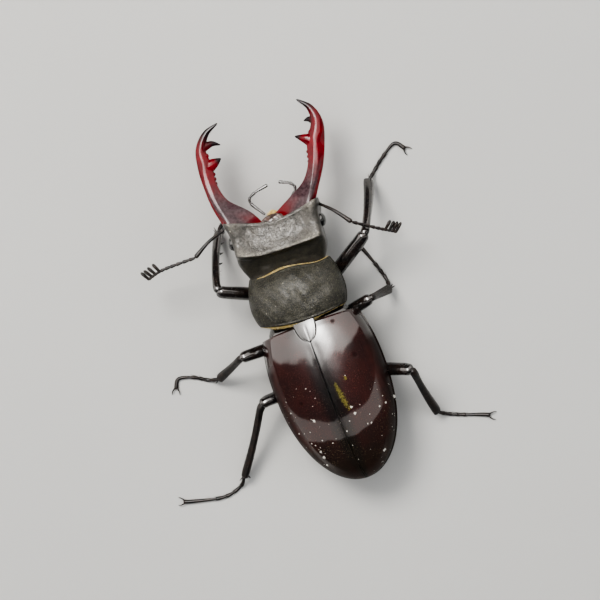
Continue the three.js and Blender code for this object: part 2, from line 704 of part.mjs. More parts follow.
const beetle = new THREE.Group();
const box = new THREE.Box3();
for (const [name, { finish, made }] of nodes) {
  const material = new THREE.MeshStandardMaterial({ ...COLOURS[finish], metalness: 0 });
  const mesh = new THREE.Mesh(geometryOf(made), material);
  mesh.name = name;
  beetle.add(mesh);
  box.expandByObject(mesh);
}
beetle.position.set(-(box.min.x + box.max.x) / 2, -(box.min.y + box.max.y) / 2, 0);

export default beetle;
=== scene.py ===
# Finished surfaces, hair, colours, light and camera of a life-size male stag beetle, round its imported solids.
import math

import bpy
import mathutils
import numpy as np
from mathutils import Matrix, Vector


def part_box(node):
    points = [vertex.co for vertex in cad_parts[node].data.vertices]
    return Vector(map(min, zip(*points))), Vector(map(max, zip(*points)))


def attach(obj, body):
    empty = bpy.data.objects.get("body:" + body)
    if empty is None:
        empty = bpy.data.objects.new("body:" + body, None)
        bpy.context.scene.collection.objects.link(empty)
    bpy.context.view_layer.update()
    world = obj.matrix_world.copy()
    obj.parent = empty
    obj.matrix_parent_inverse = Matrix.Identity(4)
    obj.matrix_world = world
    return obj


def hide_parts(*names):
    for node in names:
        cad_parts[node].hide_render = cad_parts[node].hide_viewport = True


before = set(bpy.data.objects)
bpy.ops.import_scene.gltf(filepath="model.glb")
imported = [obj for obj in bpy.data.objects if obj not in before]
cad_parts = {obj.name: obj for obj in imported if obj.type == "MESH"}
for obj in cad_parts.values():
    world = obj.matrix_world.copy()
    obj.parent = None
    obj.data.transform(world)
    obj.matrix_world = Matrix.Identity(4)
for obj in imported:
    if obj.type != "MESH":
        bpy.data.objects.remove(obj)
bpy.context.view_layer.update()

# Where the beetle stands ------------------------------------------------------------------------
# The solids' origin lies under the middle of their box; the beetle's own origin lies on the floor under
# the base of the wing cases. The scutellum's box tells how far apart the two are.

MM = 0.001
SCUTELLUM_MIDDLE = (-0.200, -1.380)  # of the scutellum's box, from the beetle's own origin, in mm
plate_low, plate_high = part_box("scutellum")
SHIFT = np.array([
    (plate_low.x + plate_high.x) / 2 / MM - SCUTELLUM_MIDDLE[0],
    (plate_low.y + plate_high.y) / 2 / MM - SCUTELLUM_MIDDLE[1],
    0.0,
])
ROLL_HEIGHT = 9.0  # in mm above the floor, of the line that each unit of the body is rolled about
# The three rigid units of the body: where each one's origin stands in mm, its turn and its roll in degrees.
HIND_BODY = dict(origin=(0.0, 0.0), yaw=0.0, roll=-4.0)
PROTHORAX = dict(origin=(-0.32, 0.4), yaw=-4.0, roll=-1.0)
HEAD = dict(origin=(0.02, 9.6), yaw=-4.9, roll=0.5)
UP = np.array([0.0, 0.0, 1.0])


def standing(points, unit):
    """Points of a body unit in its own frame, in mm, as the beetle stands: turned by the unit's yaw about Z,
    moved to its origin, and rolled about the fore-and-aft line at the roll height."""
    yaw, roll = math.radians(unit["yaw"]), math.radians(unit["roll"])
    x = points[..., 0] * math.cos(yaw) - points[..., 1] * math.sin(yaw) + unit["origin"][0]
    y = points[..., 0] * math.sin(yaw) + points[..., 1] * math.cos(yaw) + unit["origin"][1]
    z = points[..., 2] - ROLL_HEIGHT
    rolled_x = x * math.cos(roll) + z * math.sin(roll)
    rolled_z = z * math.cos(roll) - x * math.sin(roll) + ROLL_HEIGHT
    return np.stack([rolled_x, y, rolled_z], -1)


# Wing cases -------------------------------------------------------------------------------------
# Two hard fore wings of glossy blackish-chestnut horn, about half a millimetre thick, closed edge to edge
# down the back, each with a turned-under side rim and a fine bead along the seam and round the scutellum.

ELYTRA = dict(length=27.9, half_width=9.7, widest_at=9.25, rise=5.9, highest_at=12.0,
              edge_height=7.4, edge_drop=0.9, wall=0.6, roundness=2.3, seam_rounding=0.09, base_rounding=0.28)
SCUTELLUM = dict(half_width=1.85, length=3.1, thickness=1.2, front=0.35)
SEAM = 0.03  # half the gap between the two wing cases
DENTS = [(4.58, 1.1, 0.3, 0.035), (6.15, 7.7, 0.38, 0.03), (-5.2, 12.3, 0.3, 0.03)]  # x, s, radius and depth
POLLEN = [(1.43, 11.1, 2.15, 15.85, 0.5), (3.31, 10.6, 3.4, 10.9, 0.42)]  # two smears: x, s to x, s and half width


def elytra_half_width(s):
    """Half width of the closed pair at s mm behind the base: a parabola up to the widest place, then a
    superellipse down to the tip."""
    widest, length = ELYTRA["widest_at"], ELYTRA["length"]
    growing = 1 - 0.135 * (np.clip(widest - s, 0, None) / widest) ** 2
    closing = (1 - np.clip((s - widest) / (length - widest), 0, 1) ** 2.3) ** (1 / 1.9)
    return ELYTRA["half_width"] * np.where(s < widest, growing, closing)


def elytra_rise(s):
    """Height of the ridge above the side edge: a shallow parabola in front, a superellipse behind."""
    highest, length = ELYTRA["highest_at"], ELYTRA["length"]
    front = 1 - 0.08 * (np.clip(highest - s, 0, None) / highest) ** 2
    rear = np.sqrt(1 - np.clip((s - highest) / (length - highest), 0, 1) ** 2.6)
    return ELYTRA["rise"] * np.where(s < highest, front, rear)


def elytra_edge(s):
    """Height of the side edge: it sinks with the square of the distance from the base."""
    return ELYTRA["edge_height"] - ELYTRA["edge_drop"] * (s / ELYTRA["length"]) ** 2


def scutellum_half_width(s):
    """Half width of the scutellum at s mm behind the base: a root of 1 - t^2.2 along its length."""
    t = np.clip((s + SCUTELLUM["front"]) / (SCUTELLUM["length"] + SCUTELLUM["front"]), 0, 1)
    return SCUTELLUM["half_width"] * np.sqrt(1 - t ** 2.2)


def bell(x, width):
    """The bell curve exp(-(x / width)^2)."""
    return np.exp(-(x / width) ** 2)


def step(x):
    """A smooth step from 0 to 1 as x goes from 0 to 1: 3x^2 - 2x^3."""
    x = np.clip(x, 0, 1)
    return x * x * (3 - 2 * x)


def rounded(distance, radius):
    """How far an edge rounded by a quarter circle has dropped at a distance from its end: the radius times
    1 - sqrt(1 - (1 - distance / radius)^2)."""
    return radius * (1 - np.sqrt(1 - np.clip(1 - distance / radius, 0, 1) ** 2))


def rippled(x, y, size, seed=0.0):
    """Gentle unevenness between -1 and 1 of about the given size in mm: four crossed sine waves."""
    k = 2 * math.pi / size
    return 0.25 * (
        np.sin(k * (0.9 * x + 0.31 * y) + 1.1 + seed) + np.sin(k * (0.37 * x - 0.83 * y) + 2.3 + 2 * seed)
        + np.sin(k * (-0.61 * x + 1.27 * y) * 0.8 + 4.7 * seed) + np.sin(k * (1.21 * x + 0.89 * y) * 1.3 + 0.4 + seed)
    )


def wing_case(sign, rows=230, columns=120, lip=16):
    """One wing case as a ring of points at each distance s behind the base. The outer line is a superellipse
    from the seam to the side edge; the inner line is the same, smaller by the wall; a half circle joins them
    under the edge. Beads, the shoulder bump, dents and slight unevenness are added to the outer line's height
    as bell curves and waves. The marks tell its material where seam, flanks, dents and pollen lie."""
    t = np.linspace(0, 1, rows)[:, None]
    s = ELYTRA["length"] * (1 - (1 - t) ** 2) - 0.02 * t
    half, rise, edge = elytra_half_width(s), elytra_rise(s), elytra_edge(s)
    inner = (scutellum_half_width(s) + 0.05) * step((SCUTELLUM["length"] + 0.05 - s) / 0.1)
    inner = np.minimum(np.maximum(inner, SEAM), 0.8 * half + 1e-4)
    span = np.maximum(half - inner, 1e-3)
    wall = np.minimum(ELYTRA["wall"], 0.45 * np.minimum(span, rise))
    near = np.array([0, 0.012, 0.03, 0.055, 0.09, 0.14, 0.2, 0.28])[None, :]
    theta = math.acos(0.045) * (1 - np.linspace(0, 1, columns - near.size)[None, :]) ** 1.45
    power = 2 / ELYTRA["roundness"]
    share = np.concatenate([np.minimum(near / span, 0.04 + 0 * span), np.cos(theta) ** power + 0 * s], 1)
    x = inner + span * share
    whole = np.clip((x - SEAM) / np.maximum(half - SEAM, 1e-4), 0, 1)
    level = (1 - whole ** ELYTRA["roundness"]) ** (1 / ELYTRA["roundness"])
    from_seam = x - inner
    height = rise * (1 - 0.02 * np.exp(-s / 0.8))
    z = edge + height * level
    z -= rounded(from_seam, ELYTRA["seam_rounding"]) * step(height / 1.5)
    z -= rounded(s, ELYTRA["base_rounding"]) * level
    behind_plate = step((s - SCUTELLUM["length"]) / 1.5)
    relief = (0.008 * bell(from_seam - 0.2, 0.12) - 0.02 * bell(from_seam - 0.6, 0.45)) * behind_plate
    relief = relief - 0.012 * bell(s - 0.7, 0.3)
    relief = relief + 0.04 * bell(s - 1.2, 2.0) * bell(share - 0.72, 0.14)
    relief = relief + 0.008 * rippled(x * sign, s, 5.2, 0.7 * sign) + 0.0012 * rippled(x * sign, s, 1.7, 2.0)
    for dent_x, dent_s, radius, deep in DENTS:
        relief = relief - deep * bell(np.hypot(x * sign - dent_x, s - dent_s), radius)
    z += relief * level * step(height / 3)
    above = height * level
    x = x + 0.2 * bell(above - 0.16, 0.14) * step(span / 2) - 0.1 * bell(above - 0.62, 0.2) * step(span / 2)
    turn = np.linspace(0, math.pi, lip)[None, 1:]
    lip_x = x[:, -1:] - 0.5 * wall * (1 - np.cos(turn))
    lip_z = edge - 0.7 * wall * np.sin(turn)
    back = np.linspace(0, math.pi / 2, columns + 2 - lip)[None, 1:]
    inner_x = inner + np.maximum(span - wall, 0.3 * span) * np.cos(back) ** power
    inner_z = edge + (height - wall) * np.sin(back) ** power
    inner_z = np.concatenate([lip_z, inner_z], 1)
    inner_x = np.concatenate([lip_x, inner_x], 1)
    x, z = np.concatenate([x, inner_x], 1), np.concatenate([z, inner_z], 1)
    bow = 0.7 * (x / ELYTRA["half_width"]) ** 2 * np.exp(-s / 3)
    points = np.stack([sign * x, -s - bow + 0 * x, z], -1)
    across = np.concatenate([share, share[:, ::-1][:, : inner_x.shape[1]]], 1)
    seam = bell(x - inner, 0.6) * step((s - 5) / 4)
    spots = 0 * x
    for dent_x, dent_s, radius, _ in DENTS:
        spots = np.maximum(spots, step(1.6 - np.hypot(sign * x - dent_x, s - dent_s) / radius))
    pollen = 0 * x
    for x0, s0, x1, s1, reach in POLLEN:
        over, down = x1 - x0, s1 - s0
        along = np.clip(((sign * x - x0) * over + (s - s0) * down) / (over ** 2 + down ** 2), 0, 1)
        away = np.hypot(sign * x - x0 - along * over, s - s0 - along * down)
        pollen = np.maximum(pollen, bell(away, reach * (0.5 + 0.6 * np.sin(math.pi * along))))
    flank = np.maximum(step((across - 0.77) / 0.09) * step((s - 4.5) / 2), step((s - 22.5) / 3.5))
    marks = {"across": across, "along": s / ELYTRA["length"] + 0 * x, "seam": seam, "flank": flank,
             "spots": spots, "pollen": pollen}
    return standing(points, HIND_BODY), marks


def shell(points, marks=None, strip_ends=False):
    """A closed skin from a grid of rings: four-sided faces between neighbouring rings, each ring closed on
    itself. Each end is closed by a fan to the middle of its ring, or, for a thin crescent, by a strip that
    joins the first half of the ring to the second. Faces are turned outwards by the sign of the volume."""
    rows, columns = points.shape[:2]
    i, j = np.mgrid[0 : rows - 1, 0:columns]
    a, b = i * columns + j, i * columns + (j + 1) % columns
    quads = np.stack([a, b, b + columns, a + columns], -1).reshape(-1, 4)
    vertices = points.reshape(-1, 3)
    flat = {name: values.reshape(-1) for name, values in (marks or {}).items()}
    start, last = np.arange(columns), np.arange(columns) + (rows - 1) * columns
    if strip_ends:
        k = np.arange(columns // 2 - 1)
        first = np.stack([start[k], start[-1 - k], start[-2 - k], start[k + 1]], -1)
        end = np.stack([last[k + 1], last[-2 - k], last[-1 - k], last[k]], -1)
        quads, triangles = np.concatenate([quads, first, end]), np.zeros((0, 3), int)
    else:
        first = np.stack([np.full(columns, rows * columns), np.roll(start, -1), start], -1)
        end = np.stack([np.full(columns, rows * columns + 1), last, np.roll(last, -1)], -1)
        triangles = np.concatenate([first, end])
        vertices = np.concatenate([vertices, points[:1].mean(1), points[-1:].mean(1)])
        flat = {
            name: np.concatenate([values, [values[:columns].mean(), values[-columns:].mean()]])
            for name, values in flat.items()
        }
    corners = np.concatenate([quads[:, :3], quads[:, [0, 2, 3]], triangles])
    p, q, r = (vertices[corners[:, n]] for n in range(3))
    if np.einsum("ij,ij->i", p, np.cross(q, r)).sum() < 0:
        quads, triangles = quads[:, ::-1], triangles[:, ::-1]
    return vertices, quads, triangles, flat


def piece(name, slot, surface, nodes, *shells):
    """A finished piece of one or more skins: points go from the beetle's frame in mm to the row's in metres,
    faces are shaded smoothly, each skin's marks become point attributes, and the piece takes its place."""
    counts = np.cumsum([0] + [len(made[0]) for made in shells])
    vertices = (np.concatenate([made[0] for made in shells]) + SHIFT) * MM
    quads = np.concatenate([made[1] + counts[n] for n, made in enumerate(shells)])
    triangles = np.concatenate([made[2] + counts[n] for n, made in enumerate(shells)])
    mesh = bpy.data.meshes.new(name)
    mesh.vertices.add(len(vertices))
    mesh.vertices.foreach_set("co", vertices.astype(np.float32).ravel())
    mesh.loops.add(quads.size + triangles.size)
    mesh.loops.foreach_set("vertex_index", np.concatenate([quads.ravel(), triangles.ravel()]).astype(np.int32))
    mesh.polygons.add(len(quads) + len(triangles))
    sizes = np.concatenate([np.full(len(quads), 4), np.full(len(triangles), 3)])
    mesh.polygons.foreach_set("loop_start", (np.cumsum(sizes) - sizes).astype(np.int32))
    mesh.polygons.foreach_set("use_smooth", np.ones(len(sizes), bool))
    for mark in shells[0][3]:
        values = np.concatenate([made[3][mark] for made in shells]).astype(np.float32)
        mesh.attributes.new(mark, "FLOAT", "POINT").data.foreach_set("value", values)
    mesh.update(calc_edges=True)
    mesh.validate()
    mesh.materials.append(surface)
    made = bpy.data.objects.new(name, mesh)
    bpy.context.scene.collection.objects.link(made)
    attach(made, "root")
    if nodes:
        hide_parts(*nodes)
    return made


HORN_IOR = 1.5


def new_surface(name, colour, roughness, coat=0.0, coat_roughness=0.05, specular=0.5, coat_ior=1.5):
    """A node material with one Principled surface; returns the material, its tree and that surface."""
    material = bpy.data.materials.new(name)
    material.use_nodes = True
    tree = material.node_tree
    surface = tree.nodes["Principled BSDF"]
    surface.inputs["Base Color"].default_value = (*colour, 1)
    surface.inputs["Roughness"].default_value = roughness
    surface.inputs["Coat Weight"].default_value = coat
    surface.inputs["Coat Roughness"].default_value = coat_roughness
    surface.inputs["Coat IOR"].default_value = coat_ior
    surface.inputs["Specular IOR Level"].default_value = specular
    surface.inputs["IOR"].default_value = HORN_IOR
    return material, tree, surface


def wire(tree, kind, feeds=None, **settings):
    """Adds a node of that kind with those settings, and feeds each of its sockets with a value or an output."""
    node = tree.nodes.new("ShaderNode" + kind)
    for name, value in settings.items():
        setattr(node, name, value)
    for socket, value in (feeds or {}).items():
        if isinstance(value, bpy.types.NodeSocket):
            tree.links.new(value, node.inputs[socket])
        else:
            node.inputs[socket].default_value = value
    return node


def feed(surface, socket, value):
    """Links an output to one of the surface's sockets."""
    surface.id_data.links.new(value, surface.inputs[socket])


def place(tree):
    """The point's place on the piece, in metres."""
    return wire(tree, "TexCoord").outputs["Object"]


def mark(tree, name):
    """A named mark of the piece, such as how far along it a point lies."""
    return wire(tree, "Attribute", attribute_name=name).outputs["Fac"]


def noise(tree, grain, detail=3.0, roughness=0.55):
    """Cloudy noise with grains of that size in mm."""
    feeds = {"Vector": place(tree), "Scale": 1000 / grain, "Detail": detail, "Roughness": roughness}
    return wire(tree, "TexNoise", feeds).outputs["Fac"]


def pits(tree, spacing):
    """Distance to the nearest of many scattered points, that spacing in mm apart."""
    feeds = {"Vector": place(tree), "Scale": 1000 / spacing}
    return wire(tree, "TexVoronoi", feeds).outputs["Distance"]


def ramp(tree, value, *stops):
    """A value or colour along a line of stops (place, value or colour)."""
    node = wire(tree, "ValToRGB", {"Fac": value})
    line = node.color_ramp.elements
    while len(line) < len(stops):
        line.new(0.5)
    for element, (where, colour) in zip(line, stops):
        element.position = where
        element.color = (*colour, 1) if isinstance(colour, tuple) else (colour, colour, colour, 1)
    return node.outputs["Color"]


def cloudy(tree, grain, low, high, detail=3.0, roughness=0.55):
    """Cloudy noise with grains of that size in mm, run between two stops (place, value)."""
    return ramp(tree, noise(tree, grain, detail, roughness), low, high)


def blend(tree, share, first, second):
    """Two colours mixed in that share. A colour mix has its share at socket 0 and its colours at 6 and 7."""
    node = wire(tree, "Mix", data_type="RGBA")
    for socket, value in ((0, share), (6, first), (7, second)):
        if isinstance(value, bpy.types.NodeSocket):
            tree.links.new(value, node.inputs[socket])
        else:
            node.inputs[socket].default_value = value if socket == 0 else (*value, 1)
    return node.outputs[2]


def sums(tree, how, *values):
    """Values joined by one arithmetic step, such as MULTIPLY or ADD."""
    return wire(tree, "Math", dict(enumerate(values)), operation=how).outputs[0]


def bumped(tree, surface, height, depth, strength=1.0):
    """Lets a height pattern of that depth in mm stand out of the surface."""
    bump = wire(tree, "Bump", {"Height": height, "Distance": depth * MM, "Strength": strength})
    feed(surface, "Normal", bump.outputs["Normal"])


def specks(tree, spacing, size, share):
    """Round specks, spacing mm apart and size mm wide, on about that share of the places: 1 on a speck."""
    cells = wire(tree, "TexVoronoi", {"Vector": place(tree), "Scale": 1000 / spacing, "Randomness": 1.0})
    lots = wire(tree, "SeparateColor", {"Color": cells.outputs["Color"]}).outputs
    chosen = sums(tree, "LESS_THAN", lots[0], share)
    ragged = cloudy(tree, 0.6 * size, (0.35, 0.25), (0.65, 1.0), 3.0, 0.7)
    wide = sums(tree, "MULTIPLY", sums(tree, "MULTIPLY", lots[1], size / spacing / 2), ragged)
    return sums(tree, "MULTIPLY", chosen, sums(tree, "LESS_THAN", cells.outputs["Distance"], wide))


wing_surface, tree, surface = new_surface("Wing case horn", (0.03, 0.012, 0.01), 0.3, specular=0.05, coat_ior=1.7)
across, along, seam = (mark(tree, name) for name in ("across", "along", "seam"))
band = ramp(tree, across, (0.02, (0.004, 0.004, 0.004)), (0.13, (0.009, 0.005, 0.005)),
            (0.27, (0.04, 0.011, 0.01)), (0.85, (0.046, 0.013, 0.011)), (0.97, (0.014, 0.007, 0.006)))
tone = blend(tree, cloudy(tree, 3.0, (0.35, 0.0), (0.7, 0.7)), band, (0.014, 0.008, 0.008))
tone = blend(tree, ramp(tree, along, (0.6, 0.0), (0.85, 0.65)), tone, (0.016, 0.012, 0.008))
dirty = sums(tree, "MULTIPLY", ramp(tree, along, (0.3, 0.2), (0.75, 1.0)),
             cloudy(tree, 3.5, (0.4, 0.15), (0.6, 1.0), 2.0))
grit = sums(tree, "MULTIPLY", cloudy(tree, 0.22, (0.58, 0.0), (0.66, 0.7), 5.0, 0.75), dirty)
clusters = sums(tree, "MULTIPLY", cloudy(tree, 3.4, (0.42, 0.0), (0.46, 1.0), 1.0),
                ramp(tree, along, (0.5, 0.0), (0.55, 1.0)))
dust = sums(tree, "MULTIPLY", specks(tree, 1.1, 0.85, 0.5), clusters)
dust = sums(tree, "MAXIMUM", dust, specks(tree, 0.5, 0.36, 0.2))
dust = sums(tree, "MULTIPLY", dust, ramp(tree, dirty, (0.25, 0.0), (0.3, 1.0)))
pollen = sums(tree, "MULTIPLY_ADD", noise(tree, 0.3, 6.0, 0.9), 5.0, -2.28)
pollen = sums(tree, "MULTIPLY_ADD", mark(tree, "pollen"), 0.62, pollen)
pollen = sums(tree, "MULTIPLY", pollen, ramp(tree, mark(tree, "pollen"), (0.1, 0.0), (0.3, 1.0)))
pollen = sums(tree, "MULTIPLY", ramp(tree, pollen, (0.66, 0.0), (0.78, 1.0)),
              cloudy(tree, 0.12, (0.4, 0.45), (0.6, 1.0), 3.0, 0.7))
tone = blend(tree, mark(tree, "spots"), tone, (0.012, 0.003, 0.003))
coloured = blend(tree, grit, tone, (0.2, 0.15, 0.08))
coloured = blend(tree, pollen, coloured, (0.26, 0.23, 0.05))
feed(surface, "Base Color", blend(tree, dust, coloured, (0.8, 0.76, 0.68)))
loose = sums(tree, "MAXIMUM", sums(tree, "MAXIMUM", dust, pollen), grit)
flank = sums(tree, "MULTIPLY", sums(tree, "MAXIMUM", mark(tree, "flank"), mark(tree, "spots")), 0.82)
dull = sums(tree, "MAXIMUM", sums(tree, "MAXIMUM", loose, flank), sums(tree, "MULTIPLY", seam, 0.5))
feed(surface, "Coat Weight", ramp(tree, dull, (0.0, 0.9), (0.9, 0.0)))
feed(surface, "Roughness", ramp(tree, dull, (0.0, 0.27), (0.9, 0.5)))
relief = sums(tree, "ADD", ramp(tree, pits(tree, 0.22), (0.0, 0.0), (0.35, 1.0)), sums(tree, "MULTIPLY", loose, 6.0))
bumped(tree, surface, relief, 0.006, 0.6)

for side, sign in (("left", -1), ("right", 1)):
    points, marks = wing_case(sign)
    piece(f"wing_case_{side}", "shell", wing_surface, [f"elytron_{side}"], shell(points, marks, strip_ends=True))


# Scutellum --------------------------------------------------------------------------------------
# The small tongue-shaped shell plate of the middle thorax, set between the wing-case bases. It is glossy
# black with a raised rim and a faint line down its middle.

def rings(count):
    """Shares 0 to 1 of a length, close together near both ends: half of 1 - cos."""
    return (0.5 - 0.5 * np.cos(np.linspace(0, math.pi, count)))[:, None]


def powered(wave, exponent):
    """A cosine or sine raised to a superellipse's power, its sign kept."""
    return np.sign(wave) * np.abs(wave) ** (2 / exponent)


def around(count):
    """Equal steps of a full turn."""
    return np.linspace(0, 2 * math.pi, count, endpoint=False)[None, :]


def scutellum_plate():
    """Superellipse rings along the plate, flat below and slightly crowned above, with a raised rim and a
    fine groove along the middle."""
    t, a = rings(90), around(96)
    s = -SCUTELLUM["front"] + (SCUTELLUM["length"] + SCUTELLUM["front"]) * t
    half = np.maximum(0.02, SCUTELLUM["half_width"] * np.sqrt(1 - t ** 2.2))
    u = powered(np.cos(a), 2.6)
    x = half * u
    lift = np.clip(np.sin(a), 0, None)
    top = elytra_edge(0) + elytra_rise(2.0) - 0.08 - 0.14 * (1 - t) - 0.1 * (1 - t) ** 3 - 0.03 * x * x
    rim = 0.03 * bell(np.abs(u) - 0.93, 0.06) - 0.03 * bell(x, 0.1) * step((t - 0.1) / 0.3)
    below = np.where(np.sin(a) > 0, 0.0, -SCUTELLUM["thickness"] * powered(-np.sin(a), 4))
    z = top + below + (0.12 + rim) * lift ** 0.5
    return standing(np.stack([x, -s + 0 * x, z], -1), HIND_BODY)


armour_surface, tree, surface = new_surface(
    "Glossy black shell", (0.016, 0.015, 0.015), 0.3, coat=0.9, coat_roughness=0.07, specular=0.15, coat_ior=1.7)
mottled = blend(tree, cloudy(tree, 1.6, (0.35, 0.0), (0.7, 1.0), 5.0), (0.009, 0.009, 0.009), (0.022, 0.021, 0.02))
dust = specks(tree, 0.8, 0.42, 0.05)
feed(surface, "Base Color", blend(tree, dust, mottled, (0.6, 0.57, 0.5)))
feed(surface, "Roughness", cloudy(tree, 0.6, (0.3, 0.3), (0.7, 0.52), 4.0))
bumped(tree, surface, ramp(tree, pits(tree, 0.26), (0.05, 0.0), (0.45, 1.0)), 0.008, 0.6)
piece("scutellum_plate", "armour", armour_surface, ["scutellum"], shell(scutellum_plate()))


# Collar plate -----------------------------------------------------------------------------------
# The broad shell of the first thorax ring: satin, densely pitted dark grey horn with a thin raised bead all
# round, a shallow furrow along the middle and a wide shallow dent on either side.

PRONOTUM = dict(length=9.35, half_width=8.2, rear_half_width=7.5, front_half_width=6.85, widest_at=0.32,
                crown=13.3, crown_at=0.45, rear_top=12.9, front_top=11.3, edge_height=8.4, edge_thickness=0.55,
                rounding=0.16)


def pronotum_half_width(v):
    """Half width at share v from the rear margin: two power curves that meet at the widest place."""
    widest, side = PRONOTUM["widest_at"], PRONOTUM["half_width"]
    rear = side + (PRONOTUM["rear_half_width"] - side) * np.clip((widest - v) / widest, 0, 1) ** 2
    front = side + (PRONOTUM["front_half_width"] - side) * np.clip((v - widest) / (1 - widest), 0, 1) ** 1.7
    return np.where(v < widest, rear, front)


def pronotum_top(v):
    """Height of the midline at share v: two power curves that meet at the crown."""
    crown, at = PRONOTUM["crown"], PRONOTUM["crown_at"]
    rear = crown + (PRONOTUM["rear_top"] - crown) * np.clip((at - v) / at, 0, 1) ** 2
    front = crown + (PRONOTUM["front_top"] - crown) * np.clip((v - at) / (1 - at), 0, 1) ** 2.2
    return np.where(v < at, rear, front)


def pronotum_forward(v, x):
    """How far forwards share v lies at x: the rear margin bows back in its middle, the front one is waved."""
    q = (x / PRONOTUM["rear_half_width"]) ** 2
    return q + (PRONOTUM["length"] + 0.3 * q * q - 2.4 * q * (1 - q) - q) * v


def collar_plate():
    """Superellipse rings from the rear margin to the front one. Both ends are rounded over, ends and side edges
    carry a bead, and furrow, dents and slight unevenness are added to the upper side as bell curves and waves."""
    v, a = rings(200), around(260)
    wave = powered(np.sin(a), 2.3)
    end = np.minimum(v, 1 - v) * PRONOTUM["length"]
    trim = rounded(end, PRONOTUM["rounding"])
    x = (pronotum_half_width(v) - trim) * powered(np.cos(a), 2.7)
    bead = 0.05 * bell(end - 0.2, 0.14) - 0.04 * bell(end - 0.58, 0.2)
    rounding = 1 - 0.05 * (np.exp(-v / 0.05) + np.exp(-(1 - v) / 0.05))
    rise = (pronotum_top(v) - PRONOTUM["edge_height"]) * rounding - trim + bead
    above = rise * np.clip(wave, 0, 1)
    side = 0.13 * bell(above - 0.12, 0.13) - 0.07 * bell(above - 0.5, 0.2)
    x = x + np.sign(np.cos(a)) * np.where(wave > 0, side, 0) * step(end / 0.3)
    middle = bell(v - 0.5, 0.33)
    relief = -0.14 * bell(x, 1.0) * middle - 0.3 * bell(x - 4.6, 1.5) * bell(v - 0.5, 0.2)
    relief = relief - 0.3 * bell(x + 4.6, 1.5) * bell(v - 0.5, 0.2) - 0.1 * bell(v - 0.12, 0.07) * bell(x, 3.5)
    along = v * PRONOTUM["length"]
    relief = relief + 0.1 * rippled(x, along, 3.4, 0.3) + 0.02 * rippled(x, along, 1.5, 1.4)
    depth = np.where(wave > 0, rise + relief * step(end / 0.5), PRONOTUM["edge_thickness"])
    z = PRONOTUM["edge_height"] + depth * wave
    return standing(np.stack([x, pronotum_forward(v, x), z], -1), PROTHORAX)


collar_surface, tree, surface = new_surface("Pitted grey-black shell", (0.02, 0.019, 0.018), 0.45, coat=0.1,
                                            coat_roughness=0.25, specular=0.3)
mottled = blend(tree, cloudy(tree, 1.5, (0.42, 0.0), (0.62, 1.0), 5.0, 0.7), (0.002, 0.002, 0.0018),
                (0.026, 0.0245, 0.019))
mottled = blend(tree, cloudy(tree, 0.2, (0.5, 0.0), (0.62, 0.8), 4.0, 0.8), mottled, (0.09, 0.083, 0.053))
dust = sums(tree, "MAXIMUM", specks(tree, 0.7, 0.4, 0.04), specks(tree, 0.32, 0.17, 0.1))
feed(surface, "Base Color", blend(tree, dust, mottled, (0.5, 0.47, 0.36)))
feed(surface, "Roughness", cloudy(tree, 2.4, (0.38, 0.36), (0.62, 0.68), 4.0, 0.65))
grain = sums(tree, "ADD", ramp(tree, pits(tree, 0.27), (0.05, 0.0), (0.5, 1.0)),
             sums(tree, "MULTIPLY", noise(tree, 0.25, 4.0), 0.5))
bumped(tree, surface, grain, 0.05, 1.0)
piece("collar_plate", "armour", collar_surface, ["pronotum"], shell(collar_plate()))


# Underside --------------------------------------------------------------------------------------
# The first thorax's underside, the hind thorax between and behind the middle legs, and the five belly
# plates, each lapping over the next like tiles: glossy black horn, one rigid shell each.

PROSTERNUM = dict(top=7.5, depth=3.9, rear_half_width=6.9, front_half_width=6.2, rear=1.3, length=7.6, rounding=0.4)
BELLY = dict(height=2.9, neck=1.6, split=11.0, plates=5, step=0.28, clearance=0.55, taper_from=16.0)


def prosternum_skin():
    """Superellipse rings, swelling by a root of a sine along their length, with a keel along the middle."""
    t, a = rings(100), around(150)
    swell = np.sin(math.pi * (0.18 + 0.64 * t)) ** 0.5
    half = (PROSTERNUM["rear_half_width"] + (PROSTERNUM["front_half_width"] - PROSTERNUM["rear_half_width"]) * t)
    half = half * (0.94 + 0.06 * swell)
    wave = powered(np.sin(a), 2.2)
    trim = rounded(np.minimum(t, 1 - t) * PROSTERNUM["length"], PROSTERNUM["rounding"])
    x = (half - trim) * powered(np.cos(a), 2.6)
    keel = 0.25 * bell(x, 0.7) * bell(t - 0.5, 0.3) - 0.12 * bell(np.abs(x) - 1.3, 0.4)
    z = PROSTERNUM["top"] + np.where(wave > 0, 0.1, PROSTERNUM["depth"] * swell - trim + 0.4 * keel) * wave
    y = PROSTERNUM["rear"] + PROSTERNUM["length"] * t
    return standing(np.stack([x, y + 0 * x, z], -1), PROTHORAX)


def trunk_skin(s, lap):
    """The hind body at distances s behind the base: the inside of the wing cases above, the belly below,
    drawn in at the neck in front and tapering behind; lap shares raise each plate's hidden front."""
    a = around(180)
    inset = ELYTRA["wall"] + BELLY["clearance"]
    within = np.maximum(s, 0)
    neck = np.clip(-s / BELLY["neck"], 0, 1)
    half = np.maximum(0.4, elytra_half_width(within) - inset) * (1 - 0.14 * neck)
    rise = np.maximum(0.3, elytra_rise(within) - inset - 0.15) * (0.84 - 0.24 * neck)
    tapering = np.clip((s - BELLY["taper_from"]) / (ELYTRA["length"] - BELLY["taper_from"]), 0, 1)
    taper = np.sqrt(np.maximum(0.02, 1 - tapering ** 2.4))
    depth = (elytra_edge(within) - BELLY["height"]) * taper * (1 - 0.2 * neck) - lap * BELLY["step"]
    wave, x = powered(np.sin(a), 2.3), half * powered(np.cos(a), 2.3)
    furrow = 0.12 * bell(x, 0.5) * step((s + 0.5) / 2) * step((BELLY["split"] - s) / 2)
    z = elytra_edge(within) - 0.1 + np.where(wave > 0, rise, depth - furrow) * wave
    return standing(np.stack([x, -s + 0 * x, z], -1), HIND_BODY)


